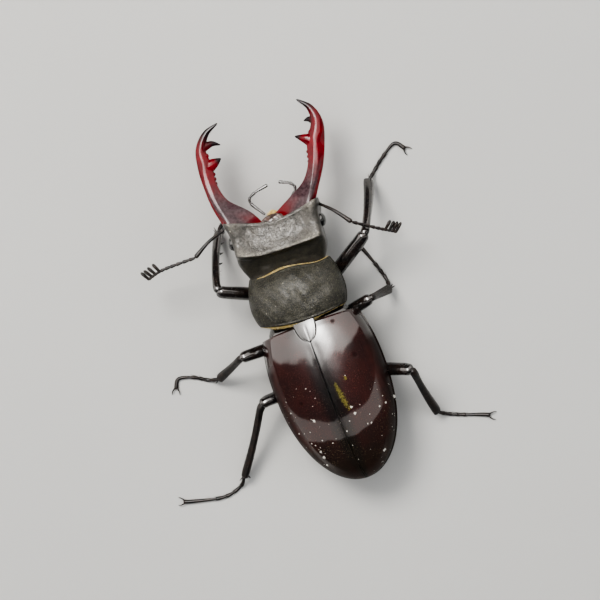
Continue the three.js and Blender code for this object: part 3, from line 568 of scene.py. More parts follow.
limb_surface, tree, surface = new_surface(
    "Glossy black horn", (0.008, 0.0065, 0.006), 0.25, coat=0.9, coat_roughness=0.06, specular=0.2, coat_ior=1.75)
tint = blend(tree, cloudy(tree, 1.2, (0.4, 0.0), (0.75, 1.0), 4.0), (0.007, 0.006, 0.006), (0.02, 0.012, 0.009))
feed(surface, "Base Color", blend(tree, specks(tree, 0.55, 0.25, 0.03), tint, (0.4, 0.36, 0.3)))
feed(surface, "Roughness", cloudy(tree, 0.5, (0.3, 0.16), (0.75, 0.34), 4.0))
bumped(tree, surface, ramp(tree, pits(tree, 0.2), (0.05, 0.0), (0.4, 1.0)), 0.012, 0.5)

piece("prosternum_plate", "limb", limb_surface, ["prosternum"], shell(prosternum_skin()))
thorax_s = -BELLY["neck"] + (BELLY["split"] + BELLY["neck"]) * rings(120)
LAP = 0.5  # how far in mm the thorax slips over the first belly plate
thorax_lap = np.where(thorax_s > BELLY["split"] - LAP, (thorax_s - BELLY["split"] + LAP) / LAP, 0.0)
piece("hind_thorax_shell", "limb", limb_surface, ["hind_thorax"], shell(trunk_skin(thorax_s, thorax_lap)))
belly_share = np.linspace(0, 1, 260)[:, None]
belly_end = ELYTRA["length"] - ELYTRA["wall"] - 1.1
belly_s = BELLY["split"] + 0.3 + (belly_end - BELLY["split"] - 0.3) * (1 - (1 - belly_share) ** 1.3)
plate_share = np.clip((belly_s - BELLY["split"]) / (belly_end - BELLY["split"]), 0, 0.9999) * BELLY["plates"] % 1
belly_lap = 1 - step(plate_share / 0.12)
piece("belly_plates", "limb", limb_surface, ["abdomen"], shell(trunk_skin(belly_s, belly_lap)))


# Head and eyes ----------------------------------------------------------------------------------
# The broad flat head shell: a matte pitted disc that slopes forwards between raised front corners, ends
# behind in a sharp cross ridge, and drops to a darker, glossier back. A small black eye bulges on each side.

SKULL = dict(rear=-1.1, front=7.5, corner_reach=2.45, brow_reach=0.55, middle=9.0, depth=4.0, crest=0.75,
             rounding=0.25)
SKULL_HALF_WIDTH = [6.1, 6.6, 7.2, 7.6, 7.6, 7.6, 7.8, 8.35]  # at even steps from the neck to the front margin
SKULL_TOP = [10.1, 10.4, 11.0, 11.6, 11.8, 11.7, 11.55, 11.5]
SKULL_SIDE_RISE = [0, 0, 0.1, 0.3, 0.5, 0.6, 0.8, 0.9]
EYE = dict(at=(7.55, 6.3, 9.4), radii=(0.95, 1.25, 1.3))


def spline(values, t):
    """The Catmull-Rom curve through values at even steps of t from 0 to 1: in each span the cubic whose end
    slopes are half the step between the neighbours on either side."""
    values = np.asarray(values, float)
    spans = len(values) - 1
    padded = np.concatenate([[2 * values[0] - values[1]], values, [2 * values[-1] - values[-2]]])
    where = np.clip(np.asarray(t, float), 0, 1) * spans
    i = np.minimum(where.astype(int), spans - 1)
    f = where - i
    if values.ndim > 1:
        f = f[..., None]
    p, q, r, s = padded[i], padded[i + 1], padded[i + 2], padded[i + 3]
    return 0.5 * (2 * q + (r - p) * f + (2 * p - 5 * q + 4 * r - s) * f ** 2 + (3 * q - p - 3 * r + s) * f ** 3)


def skull():
    """Superellipse rings from the neck to the front margin, squarer forwards. The upper height is a midline
    spline plus a side spline times u^2, a cross ridge that is steep behind and gentle in front, dents, and waves.
    The marks tell its material where the disc lies, and where its crest and front corners carry painted highlights,
    with some dust on the crest."""
    t, a = rings(220), around(300)
    squareness = 3 + 3.5 * t
    u, wave = powered(np.cos(a), squareness), powered(np.sin(a), squareness)
    length = SKULL["front"] - SKULL["rear"]
    y = SKULL["rear"] + length * t
    half = spline(SKULL_HALF_WIDTH, t)
    reach = SKULL["brow_reach"] + (SKULL["corner_reach"] - SKULL["brow_reach"]) * (u * u + 0.01) ** 0.6
    forward = np.where(wave > 0, reach, 0.6 * SKULL["corner_reach"] * u * u) * np.clip((t - 0.6) / 0.4, 0, 1)
    ridge_line = 3.1 + 0.9 * u * u + 0.12 * np.sin(4.2 * u + 0.6)
    behind = y - ridge_line
    knobs = 1 + 0.4 * bell(u + 0.75, 0.16) + 0.3 * bell(u - 0.62, 0.16) - 0.2 * bell(u + 0.15, 0.3)
    ridge = (SKULL["crest"] + 0.45 * u * u) * knobs * np.where(behind > 0, bell(behind, 1.15), bell(behind, 0.36))
    top = spline(SKULL_TOP, t) + spline(SKULL_SIDE_RISE, t) * u * u
    back = step(-behind / 0.6)
    dents = 0.22 * bell(u + 0.45, 0.16) * bell(y - 1.5, 0.7) + 0.2 * bell(u - 0.1, 0.2) * bell(y - 1.1, 0.6)
    dents = dents + 0.6 * bell(np.abs(u) - 0.6, 0.15) * bell(y - 6.4, 1.3)
    dents = dents + 0.12 * bell(u - 0.1, 0.3) * bell(y - 6.3, 1.1)
    dents = dents + 0.12 * bell(u - 0.35, 0.12) * bell(y - 4.9, 0.6) + 0.1 * bell(u + 0.3, 0.14) * bell(y - 5.4, 0.7)
    corner = 0.95 * bell(np.abs(u) - 0.88, 0.15) * step((t - 0.66) / 0.34) + 0.08 * bell((1 - t) * length - 0.3, 0.22)
    rough_skin = 0.13 * rippled(half * u, y, 2.6, 0.9) + 0.05 * rippled(half * u, y, 1.0, 2.2)
    rough_skin = rough_skin * (0.12 + 0.88 * step(behind + 0.4))
    trim = rounded(np.clip((1 - t) * length, 0, None), SKULL["rounding"])
    upper = top + ridge - dents + corner + rough_skin - trim - SKULL["middle"] - 0.35 * back * (1 - u * u)
    lower = SKULL["depth"] * (1 - 0.2 * t) - trim
    x = (half - trim) * u
    z = SKULL["middle"] + np.where(wave > 0, upper, lower) * wave
    disc = step((behind + 0.1) / 0.3) * np.clip(wave, 0, 1) * step((0.97 - np.abs(u)) / 0.08)
    # Painted highlights: the crest's ends and the raised front corners are painted paler, the crest also for its
    # dust.
    crest_painted_highlight_and_dust = bell(behind - 0.2, 0.3 + 0.4 * u * u) * (0.4 + 0.6 * step((np.abs(u) - 0.35) / 0.3))
    corner_painted_highlight = bell(t - 1, 0.07) * step((np.abs(u) - 0.6) / 0.3)
    marks = {"disc": disc + 0 * x, "worn": np.clip(crest_painted_highlight_and_dust + corner_painted_highlight, 0, 1) * disc}
    return standing(np.stack([x, y + forward + 0 * x, z], -1), HEAD), marks


def ball(middle, radii, unit, rows=40, columns=56):
    """An ellipsoid as rings of latitude."""
    latitude = np.linspace(0.02, math.pi - 0.02, rows)[:, None]
    a = around(columns)
    x = middle[0] + radii[0] * np.sin(latitude) * np.cos(a)
    y = middle[1] + radii[1] * np.sin(latitude) * np.sin(a)
    z = middle[2] + radii[2] * np.cos(latitude) + 0 * a
    return standing(np.stack([x, y, z], -1), unit)


head_surface, tree, surface = new_surface("Dusty grey head shell with painted sheen", (0.03, 0.028, 0.026), 0.5, coat_roughness=0.18)
disc = mark(tree, "disc")
clouds = cloudy(tree, 0.8, (0.36, 0.0), (0.68, 1.0), 8.0, 0.75)
# The disc's pale grey is dust, and is also painted paler to stand in for a grey sheen from the sky.
dust_and_painted_sheen = blend(tree, clouds, (0.03, 0.0285, 0.026), (0.17, 0.157, 0.137))
bare = blend(tree, clouds, (0.012, 0.011, 0.009), (0.045, 0.039, 0.027))
feed(surface, "Coat Weight", ramp(tree, disc, (0.0, 0.4), (1.0, 0.08)))
shade = blend(tree, disc, bare, dust_and_painted_sheen)
# A pale colour painted on the crest and front corners, as painted highlights mixed with dust.
worn = sums(tree, "MULTIPLY", mark(tree, "worn"), cloudy(tree, 0.5, (0.4, 0.1), (0.6, 0.9), 5.0, 0.75))
shade = blend(tree, worn, shade, (0.42, 0.38, 0.31))
dust = sums(tree, "MULTIPLY", sums(tree, "MAXIMUM", specks(tree, 0.8, 0.5, 0.16), specks(tree, 0.35, 0.2, 0.12)),
            disc)
feed(surface, "Base Color", blend(tree, dust, shade, (0.65, 0.6, 0.5)))
feed(surface, "Roughness", blend(tree, disc, (0.34, 0.34, 0.34), cloudy(tree, 0.7, (0.3, 0.36), (0.7, 0.62), 4.0)))
grain = sums(tree, "ADD", ramp(tree, pits(tree, 0.3), (0.05, 0.0), (0.5, 1.0)), noise(tree, 0.5, 5.0))
grain = sums(tree, "MULTIPLY", grain, sums(tree, "MULTIPLY_ADD", disc, 0.75, 0.25))
bumped(tree, surface, grain, 0.08, 1.0)
points, marks = skull()
piece("head_shell", "armour", head_surface, ["head"], shell(points, marks, strip_ends=True))

eye_surface, tree, surface = new_surface("Black facet eye", (0.004, 0.004, 0.0045), 0.08, coat=1.0,
                                         coat_roughness=0.03)
bumped(tree, surface, ramp(tree, pits(tree, 0.09), (0.0, 1.0), (0.6, 0.0)), 0.006, 0.6)
for side, sign in (("left", -1), ("right", 1)):
    middle = (sign * EYE["at"][0], EYE["at"][1], EYE["at"][2])
    piece(f"facet_eye_{side}", "eye", eye_surface, [f"eye_{side}"], shell(ball(middle, EYE["radii"], HEAD)))


# Jaws -------------------------------------------------------------------------------------------
# The male's antler-like jaws, each one hollow horn: a dorsal shelf whose sharp outer ridge ends in the
# middle tooth, and a lower blade that runs on to the forked, blackish tip. Glossy deep red; the root's top is dusty
# grey, painted paler as a stand-in for a sheen of the sky.

# In a jaw's own frame x runs outwards and y forwards from its hinge; stations are x, y, z, half width, half height.
JAW_HINGE = {"left": (6.45, 9.4), "right": (5.5, 9.4)}
JAW_OPENING = {"left": -8.5, "right": 9.0}  # in degrees, outwards
JAW_LEAN = {"left": 0.08, "right": -0.1}  # shift of the ridge, as a share of the blade's half width
JAW_BLADE = {
    "left": np.array([
        [-3.1, -3.0, 8.6, 2.9, 1.4], [-1.05, -0.2, 9.5, 2.7, 2.2], [1.9, 3.2, 8.8, 1.55, 1.85],
        [3.36, 6.65, 8.15, 1.15, 1.55], [3.95, 9.9, 7.8, 1.25, 1.35], [4.36, 13.0, 7.6, 0.88, 1.0],
        [3.2, 15.55, 7.8, 0.57, 0.62], [0.95, 17.15, 8.1, 0.14, 0.16],
    ]),
    "right": np.array([
        [-3.1, -3.0, 8.6, 2.9, 1.4], [-0.65, -0.2, 9.5, 2.35, 2.2], [1.5, 3.2, 8.8, 1.4, 1.85],
        [2.72, 6.65, 8.15, 1.3, 1.55], [3.1, 10.05, 7.8, 1.5, 1.35], [3.64, 13.3, 7.6, 1.08, 1.0],
        [2.8, 15.95, 7.8, 0.6, 0.62], [0.65, 17.65, 8.1, 0.14, 0.16],
    ]),
}
JAW_TOOTH = {
    "left": np.array([[3.5, 10.0, 7.95, 1.25, 0.8], [2.2, 10.65, 7.95, 0.8, 0.55], [1.1, 11.25, 7.75, 0.1, 0.1]]),
    "right": np.array([[2.9, 10.3, 7.95, 1.4, 0.8], [1.3, 11.0, 7.95, 0.78, 0.55], [-0.35, 11.55, 7.75, 0.1, 0.1]]),
}
JAW_PRONG = {
    "left": np.array([[3.9, 13.4, 7.5, 0.8, 0.7], [2.4, 13.85, 7.35, 0.5, 0.48], [0.95, 13.5, 7.2, 0.09, 0.09]]),
    "right": np.array([[3.6, 13.6, 7.5, 0.85, 0.7], [2.4, 14.1, 7.35, 0.5, 0.46], [1.4, 13.95, 7.2, 0.09, 0.09]]),
}
# How far black spreads in mm from each jaw's end, prong tip and tooth tip.
JAW_DARK = {"left": (6.2, 3.0, 1.7), "right": (4.3, 2.5, 1.7)}
JAW_BUMPS = [(7.2, 0.2, 0.42), (7.95, 0.28, 0.46), (8.75, 0.34, 0.5), (11.95, 0.26, 0.55)]  # y, reach, half width
# Where the ridge lies, as a share of the half width, at even steps from root to tip.
JAW_RIDGE = [0.8, 0.8, 0.72, 0.5, 0.3, 0.2, 0.14, 0.1, 0.04, -0.3, -0.85, -0.95, -0.95, -0.95, -0.95]
HORN_TIP = 0.15  # length in mm over which a horn's tip is rounded off
VOXEL, SMOOTHING = 0.06, 4  # cell in mm and rounds of smoothing with which a jaw's forms are fused


def unit_rows(vectors):
    """Each row divided by its length."""
    return vectors / np.maximum(np.linalg.norm(vectors, axis=-1, keepdims=True), 1e-9)


def tube(path, wide, deep, across, sides=32, squareness=2.0, ends=(0.0, 0.0)):
    """Superellipses carried along a path: wide along the given way across it, deep square to that. Each end
    can be rounded off as part of a ball over a given length in mm."""
    along = unit_rows(np.gradient(path, axis=0))
    side = unit_rows(across - (along @ across)[:, None] * along)
    lift = np.cross(along, side)
    run = np.concatenate([[0], np.cumsum(np.linalg.norm(np.diff(path, axis=0), axis=1))])
    girth = np.ones(len(path))
    for length, distance in ((ends[0], run), (ends[1], run[-1] - run)):
        if length:
            girth *= np.sqrt(np.clip(1 - (1 - np.clip(distance / length, 0, 1)) ** 2, 1e-4, 1))
    a = around(sides)[0]
    c, s = powered(np.cos(a), squareness), powered(np.sin(a), squareness)
    return (path[:, None] + (wide * girth)[:, None, None] * c[None, :, None] * side[:, None]
            + (deep * girth)[:, None, None] * s[None, :, None] * lift[:, None])


def jaw_blade(side):
    """Rings along the blade. Up to the tooth a ring's top is a low roof: from a narrow flat ridge, at a share r of
    the half width, it falls to either edge as a hyperbola, and the ridge runs inwards to the tooth. Past the
    tooth the top is an ellipse, and everywhere below it is a superellipse."""
    stations = JAW_BLADE[side]
    t, a = np.linspace(0, 1, 400)[:, None], around(160)
    path = spline(stations[:, :3], t[:, 0])
    wide, deep = spline(stations[:, 3], t), spline(stations[:, 4], t)
    end = np.sqrt(1 - (1 - np.clip((1 - t) / 0.02, 0.01, 1)) ** 2)
    u = powered(np.cos(a), 2.2)
    r = spline(JAW_RIDGE, t)
    r = np.clip(r + JAW_LEAN[side] * step((t - 0.2) / 0.25), -0.93, 0.9)
    rounding, flat = 0.2, 0.05 + 0.26 * bell(t - 0.42, 0.15)
    away = (u - r) * wide
    slope = deep / wide * np.where(away > 0, 0.75 / (1 - r), 0.65 / (1 + r))
    past = slope * np.maximum(np.abs(away) - flat, 0)
    roof = 0.8 - (np.sqrt(rounding ** 2 + past ** 2) - rounding) / deep
    roof = roof * np.clip(np.sin(a) / 0.3, 0, 1) ** 0.5
    whole = 1 - step((t - 0.53) / 0.12)
    upper = whole * roof + (1 - whole) * 0.9 * powered(np.sin(a), 2.0)
    height = np.where(np.sin(a) > 0, upper, 0.85 * powered(np.sin(a), 2.2))
    along = unit_rows(np.gradient(path, axis=0))
    side_way = unit_rows(np.cross(along, UP))
    lift = np.cross(side_way, along)
    return (path[:, None] + (wide * u * end)[..., None] * side_way[:, None]
            + (deep * height * end)[..., None] * lift[:, None])


def fused(skins, voxel, smoothing):
    """Joins overlapping skins in mm into one skin: a voxel remesh of that size, then a few rounds of smoothing.
    Returns its points and four-sided faces."""
    counts = np.cumsum([0] + [len(skin[0]) for skin in skins])
    vertices = np.concatenate([skin[0] for skin in skins])
    faces = [face for n, skin in enumerate(skins) for part in skin[1:3] for face in (part + counts[n]).tolist()]
    mesh = bpy.data.meshes.new("fusing")
    mesh.from_pydata(vertices.tolist(), [], faces)
    holder = bpy.data.objects.new("fusing", mesh)
    bpy.context.scene.collection.objects.link(holder)
    remesh = holder.modifiers.new("remesh", "REMESH")
    remesh.mode, remesh.voxel_size = "VOXEL", voxel
    smooth = holder.modifiers.new("smooth", "SMOOTH")
    smooth.factor, smooth.iterations = 0.5, smoothing
    result = holder.evaluated_get(bpy.context.evaluated_depsgraph_get()).to_mesh()
    points = np.zeros(len(result.vertices) * 3, np.float32)
    result.vertices.foreach_get("co", points)
    corners = np.zeros(len(result.loops), np.int32)
    result.loops.foreach_get("vertex_index", corners)
    bpy.data.objects.remove(holder)
    bpy.data.meshes.remove(mesh)
    return points.reshape(-1, 3).astype(float), corners.reshape(-1, 4)


def horn(stations, count=60, sides=40):
    """A tapering horn: ellipses along the Catmull-Rom curve through stations of x, y, z, half width and half
    depth, rounded off at the tip."""
    t = np.linspace(0, 1, count)
    way = np.cross(stations[-1, :3] - stations[0, :3], UP)
    path, wide, deep = spline(stations[:, :3], t), spline(stations[:, 3], t), spline(stations[:, 4], t)
    return tube(path, wide, deep, unit_rows(way), sides, ends=(0.0, HORN_TIP))


jaw_surface, tree, surface = new_surface("Deep red jaw horn", (0.12, 0.004, 0.006), 0.2, coat=0.36,
                                         coat_roughness=0.06, specular=0.05)
streaks = cloudy(tree, 1.4, (0.32, 0.0), (0.72, 1.0), 5.0, 0.6)
red = blend(tree, streaks, (0.105, 0.001, 0.005), (0.25, 0.003, 0.011))
red = blend(tree, mark(tree, "root"), red, (0.17, 0.005, 0.009))
dark = blend(tree, mark(tree, "dark"), red, (0.012, 0.006, 0.008))
# The root's grey top: dust, and painted paler to stand in for a reflection of the sky.
grey = blend(tree, cloudy(tree, 0.5, (0.3, 0.0), (0.7, 1.0), 5.0), (0.03, 0.015, 0.018), (0.1, 0.06, 0.066))
feed(surface, "Base Color", blend(tree, mark(tree, "dust_and_painted_sheen"), dark, grey))
feed(surface, "Roughness", blend(tree, mark(tree, "dust_and_painted_sheen"), (0.14, 0.14, 0.14), (0.42, 0.42, 0.42)))
bumped(tree, surface, ramp(tree, pits(tree, 0.24), (0.05, 0.0), (0.4, 1.0)), 0.015, 0.5)

for side, sign in (("left", -1), ("right", 1)):
    blade, tooth, prong = JAW_BLADE[side], JAW_TOOTH[side], JAW_PRONG[side]
    skins = [shell(jaw_blade(side)), shell(horn(tooth)), shell(horn(prong))]
    for y, reach, girth in JAW_BUMPS:
        x = np.interp(y, blade[:, 1], blade[:, 0] - 0.9 * blade[:, 3])
        bump = np.array([[x + 0.5, y, 8.0, girth, 0.5], [x, y, 7.95, 0.8 * girth, 0.4],
                         [x - reach, y + 0.06, 7.9, 0.2, 0.2]])
        skins.append(shell(horn(bump, 20, 24)))
    points, faces = fused(skins, VOXEL, SMOOTHING)
    tips = zip((blade[-1, :3], prong[-1, :3], tooth[-1, :3]), JAW_DARK[side])
    dark = np.max([step((reach - np.linalg.norm(points - tip, axis=1)) / (0.6 * reach)) for tip, reach in tips], 0)
    stations = np.linspace(0, 1, 8)
    along = np.interp(points[:, 1], blade[:, 1], stations)
    middle = spline(blade[:, :3], along)
    outward = (points[:, 0] - middle[:, 0]) / np.interp(along, stations, blade[:, 3])
    topside = step((points[:, 2] - middle[:, 2] - 0.2) / 0.8)
    root = 1 - step((along - 0.27) / 0.25)
    inner_root = step((-outward - 0.1) / 0.8) * (1 - step((along - 0.08) / 0.17))
    # Where the root's top is painted grey, for dust and as a painted reflection of the sky.
    dust_and_painted_sheen = topside * root * (1 - inner_root) * (1 - step((outward - 0.6) / 0.25))
    swing = dict(origin=JAW_HINGE[side], yaw=-JAW_OPENING[side], roll=0.0)
    turned = standing(points, swing)
    turned[:, 0] *= sign
    if sign < 0:
        faces = faces[:, ::-1]
    skin = (standing(turned, HEAD), faces, np.zeros((0, 3), int), {"dark": dark, "dust_and_painted_sheen": dust_and_painted_sheen, "root": inner_root})
    piece(f"jaw_{side}", "jaw", jaw_surface, [f"mandible_{side}"], skin)


# Mouth ------------------------------------------------------------------------------------------
# Between the jaws: the small upper lip of satin horn, the golden-brown licking brush of fine hair on a soft
# pad, with which the beetle takes sap, and a pair of jointed palps of glossy black horn.

LABRUM = dict(half_width=2.6, reach=1.9, height=9.7, thickness=0.8)
MOUTH = dict(half_width=1.5, rear=8.1, reach=4.2, height=8.0, thickness=1.5)
TUCKED = 0.5  # how far in mm lip and pad run back under the head
BRUSH_HAIRS = 900
PALPS = {
    "left": [[-1.3, 9.6], [-3.2, 12.3], [-2.3, 13.5], [0.4, 14.3]],
    "right": [[2.0, 9.6], [4.6, 12.2], [4.2, 13.5], [2.3, 14.3]],
}
PALP_RADIUS, PALP_HEIGHT, PALP_SLOPE = 0.29, 7.6, 0.1
PALP_JOINTS = [0.3, 0.22, 0.2, 0.28]  # shares of the length
JOINT_SIDES = 28
dice = np.random.default_rng(7)


def tongue(half_width, rear, reach, height, thickness):
    """A flat tongue: ellipses that narrow by a root of 1 - t^2.6 and sink slightly towards the tip."""
    t, a = rings(60), around(60)
    girth = np.sqrt(np.maximum(0.002, 1 - t ** 2.6))
    x = half_width * girth * np.cos(a)
    z = height - 0.12 * reach * t * t + thickness / 2 * girth * np.sin(a) + 0.12 * rippled(x, reach * t, 1.3)
    return standing(np.stack([x, rear + reach * t + 0 * x, z], -1), HEAD)


def hairs(roots, ways, lengths, radius, droop=0.0):
    """Many fine hairs as one skin list: each is three shrinking triangles along its way and a point at its
    tip, closed at the root; droop bends the tip down by that share of its length."""
    count = len(roots)
    ways = unit_rows(ways)
    side = unit_rows(np.cross(ways, UP + np.array([0.31, 0.17, 0.0])))
    lift = np.cross(ways, side)
    turn = np.arange(3) * 2 * math.pi / 3
    levels, girths = np.array([0.0, 0.45, 0.8]), np.array([1.0, 0.8, 0.45])
    reach = ways[:, None] * levels[:, None] - droop * UP * levels[:, None] ** 2
    spine = roots[:, None] + lengths[:, None, None] * reach
    ring = np.cos(turn)[:, None] * side[:, None] + np.sin(turn)[:, None] * lift[:, None]
    body = spine[:, :, None] + radius * girths[None, :, None, None] * ring[:, None]
    tip = roots + lengths[:, None] * (ways - droop * UP)
    vertices = np.concatenate([body.reshape(count, 9, 3), tip[:, None]], 1).reshape(-1, 3)
    corners = [(3 * r + k, 3 * r + (k + 1) % 3) for r in (0, 1) for k in range(3)]
    quad = np.array([[near, far, far + 3, near + 3] for near, far in corners])
    triangle = np.array([[0, 2, 1], [6, 7, 9], [7, 8, 9], [8, 6, 9]])
    offsets = (np.arange(count) * 10)[:, None, None]
    return vertices, (quad + offsets).reshape(-1, 4), (triangle + offsets).reshape(-1, 3), {}


def hair_map(coat, places):
    """The map that a coat's colours are baked on: each hair is a patch about 0.003 across at its root's place
    on an unwrap of the skin it grows from, its rings one above another and its tip on top."""
    turn, level = np.array([0, 1, 2] * 3 + [1]), np.repeat([0, 1, 2, 3], [3, 3, 3, 1])
    patch = np.stack([0.0015 * (turn - 1), 0.001 * (level - 1.5) - 0.0004 * (turn == 1) * (level == 0)], -1)
    spots = (places[:, None] + patch).reshape(-1, 2).astype(np.float32)
    corners = np.zeros(len(coat.data.loops), np.int32)
    coat.data.loops.foreach_get("vertex_index", corners)
    coat.data.uv_layers.new(name="OFBake").data.foreach_set("uv", spots[corners].ravel())


hair_surface, tree, surface = new_surface("Golden hair", (0.45, 0.2, 0.035), 0.42, specular=0.4)
feed(surface, "Base Color",
     blend(tree, cloudy(tree, 0.35, (0.3, 0.0), (0.7, 1.0), 2.0), (0.6, 0.4, 0.09), (0.9, 0.74, 0.34)))
surface.inputs["Sheen Weight"].default_value = 0.3

lip_surface, tree, surface = new_surface("Upper lip horn", (0.06, 0.03, 0.025), 0.4, coat=0.6, coat_roughness=0.12,
                                         specular=0.3)
feed(surface, "Base Color",
     blend(tree, cloudy(tree, 0.6, (0.35, 0.0), (0.65, 1.0), 4.0), (0.012, 0.008, 0.007), (0.13, 0.08, 0.065)))
bumped(tree, surface, noise(tree, 0.4, 4.0), 0.04, 0.8)
lip = tongue(LABRUM["half_width"], SKULL["front"] - TUCKED, LABRUM["reach"] + TUCKED, LABRUM["height"],
             LABRUM["thickness"])
piece("upper_lip", "armour", lip_surface, ["labrum"], shell(lip))

pad = shell(tongue(0.75 * MOUTH["half_width"], MOUTH["rear"] - TUCKED, 0.6 * MOUTH["reach"], MOUTH["height"],
                   0.7 * MOUTH["thickness"]))
share = dice.random(BRUSH_HAIRS)
spread = dice.uniform(-1, 1, BRUSH_HAIRS)
level = MOUTH["height"] + dice.uniform(-0.35, 0.35, BRUSH_HAIRS)
roots = np.stack([1.3 * spread * np.sqrt(1 - 0.6 * share), 8.0 + 1.3 * share, level], -1)
aside, upwards = 0.35 * spread + dice.normal(0, 0.12, BRUSH_HAIRS), dice.normal(0.0, 0.15, BRUSH_HAIRS)
ways = np.stack([aside, np.ones(BRUSH_HAIRS), upwards], -1)
lengths = dice.uniform(0.35, 0.95, BRUSH_HAIRS) * (1 - 0.35 * spread ** 2)
brush = hairs(standing(roots, HEAD), ways, lengths, 0.035, 0.12)
piece("mouth_pad", "brush", hair_surface, [], pad)
places = np.stack([0.5 + 0.48 * spread, 0.02 + 0.96 * share], -1)
hair_map(piece("mouth_brush", "brush", hair_surface, ["mouthparts"], brush), places)


def jointed(path, radius, joints, per_joint, swell=0.22, waist=0.3, ends=(0.12, 0.2)):
    """A limb of several joints along a path, given as their number or as their shares of its length: each is a
    round tube that widens as a power of 0.8 towards its far end, its near end tucked into the one before."""
    skins = []
    if np.isscalar(joints):
        share = np.linspace(0, 1, joints + 1)
    else:
        share = np.concatenate([[0], np.cumsum(joints)]) / sum(joints)
    count = len(share) - 1
    for k in range(count):
        start = share[k] - (0.02 if k else 0)
        t = start + (share[k + 1] - start) * rings(per_joint)[:, 0]
        inside = (t - start) / (share[k + 1] - start)
        girth = radius * (1 - waist + (waist + swell) * inside ** 0.8)
        skins.append(shell(tube(path(t), girth, girth, UP, JOINT_SIDES, ends=ends)))
    return skins


for side, plan in PALPS.items():
    stations = np.array([[x, y, PALP_HEIGHT - PALP_SLOPE * i] for i, (x, y) in enumerate(plan)])
    skins = jointed(lambda t: standing(spline(stations, t), HEAD), 0.85 * PALP_RADIUS, PALP_JOINTS, per_joint=40)
    piece(f"palp_{side}", "limb", limb_surface, [f"maxillary_palp_{side}"], *skins)


# Feelers ----------------------------------------------------------------------------------------
# Each elbowed feeler of brownish black horn has a long slender shaft, a stalk of six small bead-like joints
# and a comb of four leaf-like plates.

ANTENNAE = {  # where the shaft leaves the head, its elbow, where the comb begins, and the tip
    "left": ([-7.64, 19.26, 9.5], [-13.72, 16.57, 10.5], [-19.62, 16.61, 9.5], [-22.67, 15.94, 9.0]),
    "right": ([8.7, 17.92, 9.7], [13.03, 12.95, 11.5], [17.14, 10.15, 9.5], [19.24, 8.82, 8.5]),
}
LEAVES = 4
shin_surface, tree, surface = new_surface("Satin black horn", (0.01, 0.008, 0.007), 0.36, coat=0.15,
                                          coat_roughness=0.15, specular=0.2)
tint = blend(tree, cloudy(tree, 1.0, (0.4, 0.0), (0.75, 1.0), 4.0), (0.007, 0.006, 0.006), (0.024, 0.015, 0.011))
feed(surface, "Base Color", blend(tree, specks(tree, 0.5, 0.25, 0.05), tint, (0.4, 0.36, 0.3)))
bumped(tree, surface, ramp(tree, pits(tree, 0.18), (0.05, 0.0), (0.45, 1.0)), 0.025, 0.8)

for side, spots in ANTENNAE.items():
    root, elbow, club, end = np.array(spots)
    t = rings(70)[:, 0]
    bowed = (root + elbow) / 2 + np.array([0, 0.35, 0.25])
    path = spline(np.array([root, bowed, elbow]), t)
    girth = np.interp(t, [0, 0.08, 0.16, 0.7, 0.95, 1], [0.3, 0.24, 0.25, 0.31, 0.4, 0.38])
    shaft = shell(tube(path, girth, girth, UP, 32, 2.0, (0.2, 0.4)))
    piece(f"feeler_shaft_{side}", "limb", shin_surface, [f"antenna_scape_{side}"], shaft)
    stalk = np.array([elbow, club, end])
    skins = jointed(lambda t: spline(stalk, 0.55 * t), 0.27, 6, per_joint=26, swell=0.3, waist=0.35)
    skins += jointed(lambda t: spline(stalk, 0.53 + 0.45 * t), 0.24, LEAVES, per_joint=20, swell=0.2, waist=0.2)
    for k in range(LEAVES):
        t = 0.58 + 0.39 * k / (LEAVES - 1)
        root_point, ahead, before = spline(stalk, np.array([t, min(t + 0.02, 1.0), t - 0.02]))
        heading = unit_rows(ahead - before)
        forward = unit_rows(np.cross(heading, UP)) * (1 if side == "left" else -1)
        run = np.linspace(0, 1, 40)
        leaf = root_point + np.linspace(-0.15, 1.75, 40)[:, None] * (forward + 0.3 * heading)
        wide = np.interp(run, [0, 0.15, 0.55, 0.85, 1], [0.2, 0.3, 0.6, 0.58, 0.36])
        skins.append(shell(tube(leaf, wide, 0.2 + 0.14 * wide, UP, 28, 2.2, (0.1, 0.5))))
    piece(f"feeler_comb_{side}", "limb", shin_surface, [f"antenna_flagellum_{side}"], *skins)


# Legs -------------------------------------------------------------------------------------------
# Six legs of glossy black horn. Each has a rolling hip joint, a stout thigh, a slender toothed shin with a
# pair of spurs, and a five-jointed foot with two hooked claws, which stands on small flats on the floor.

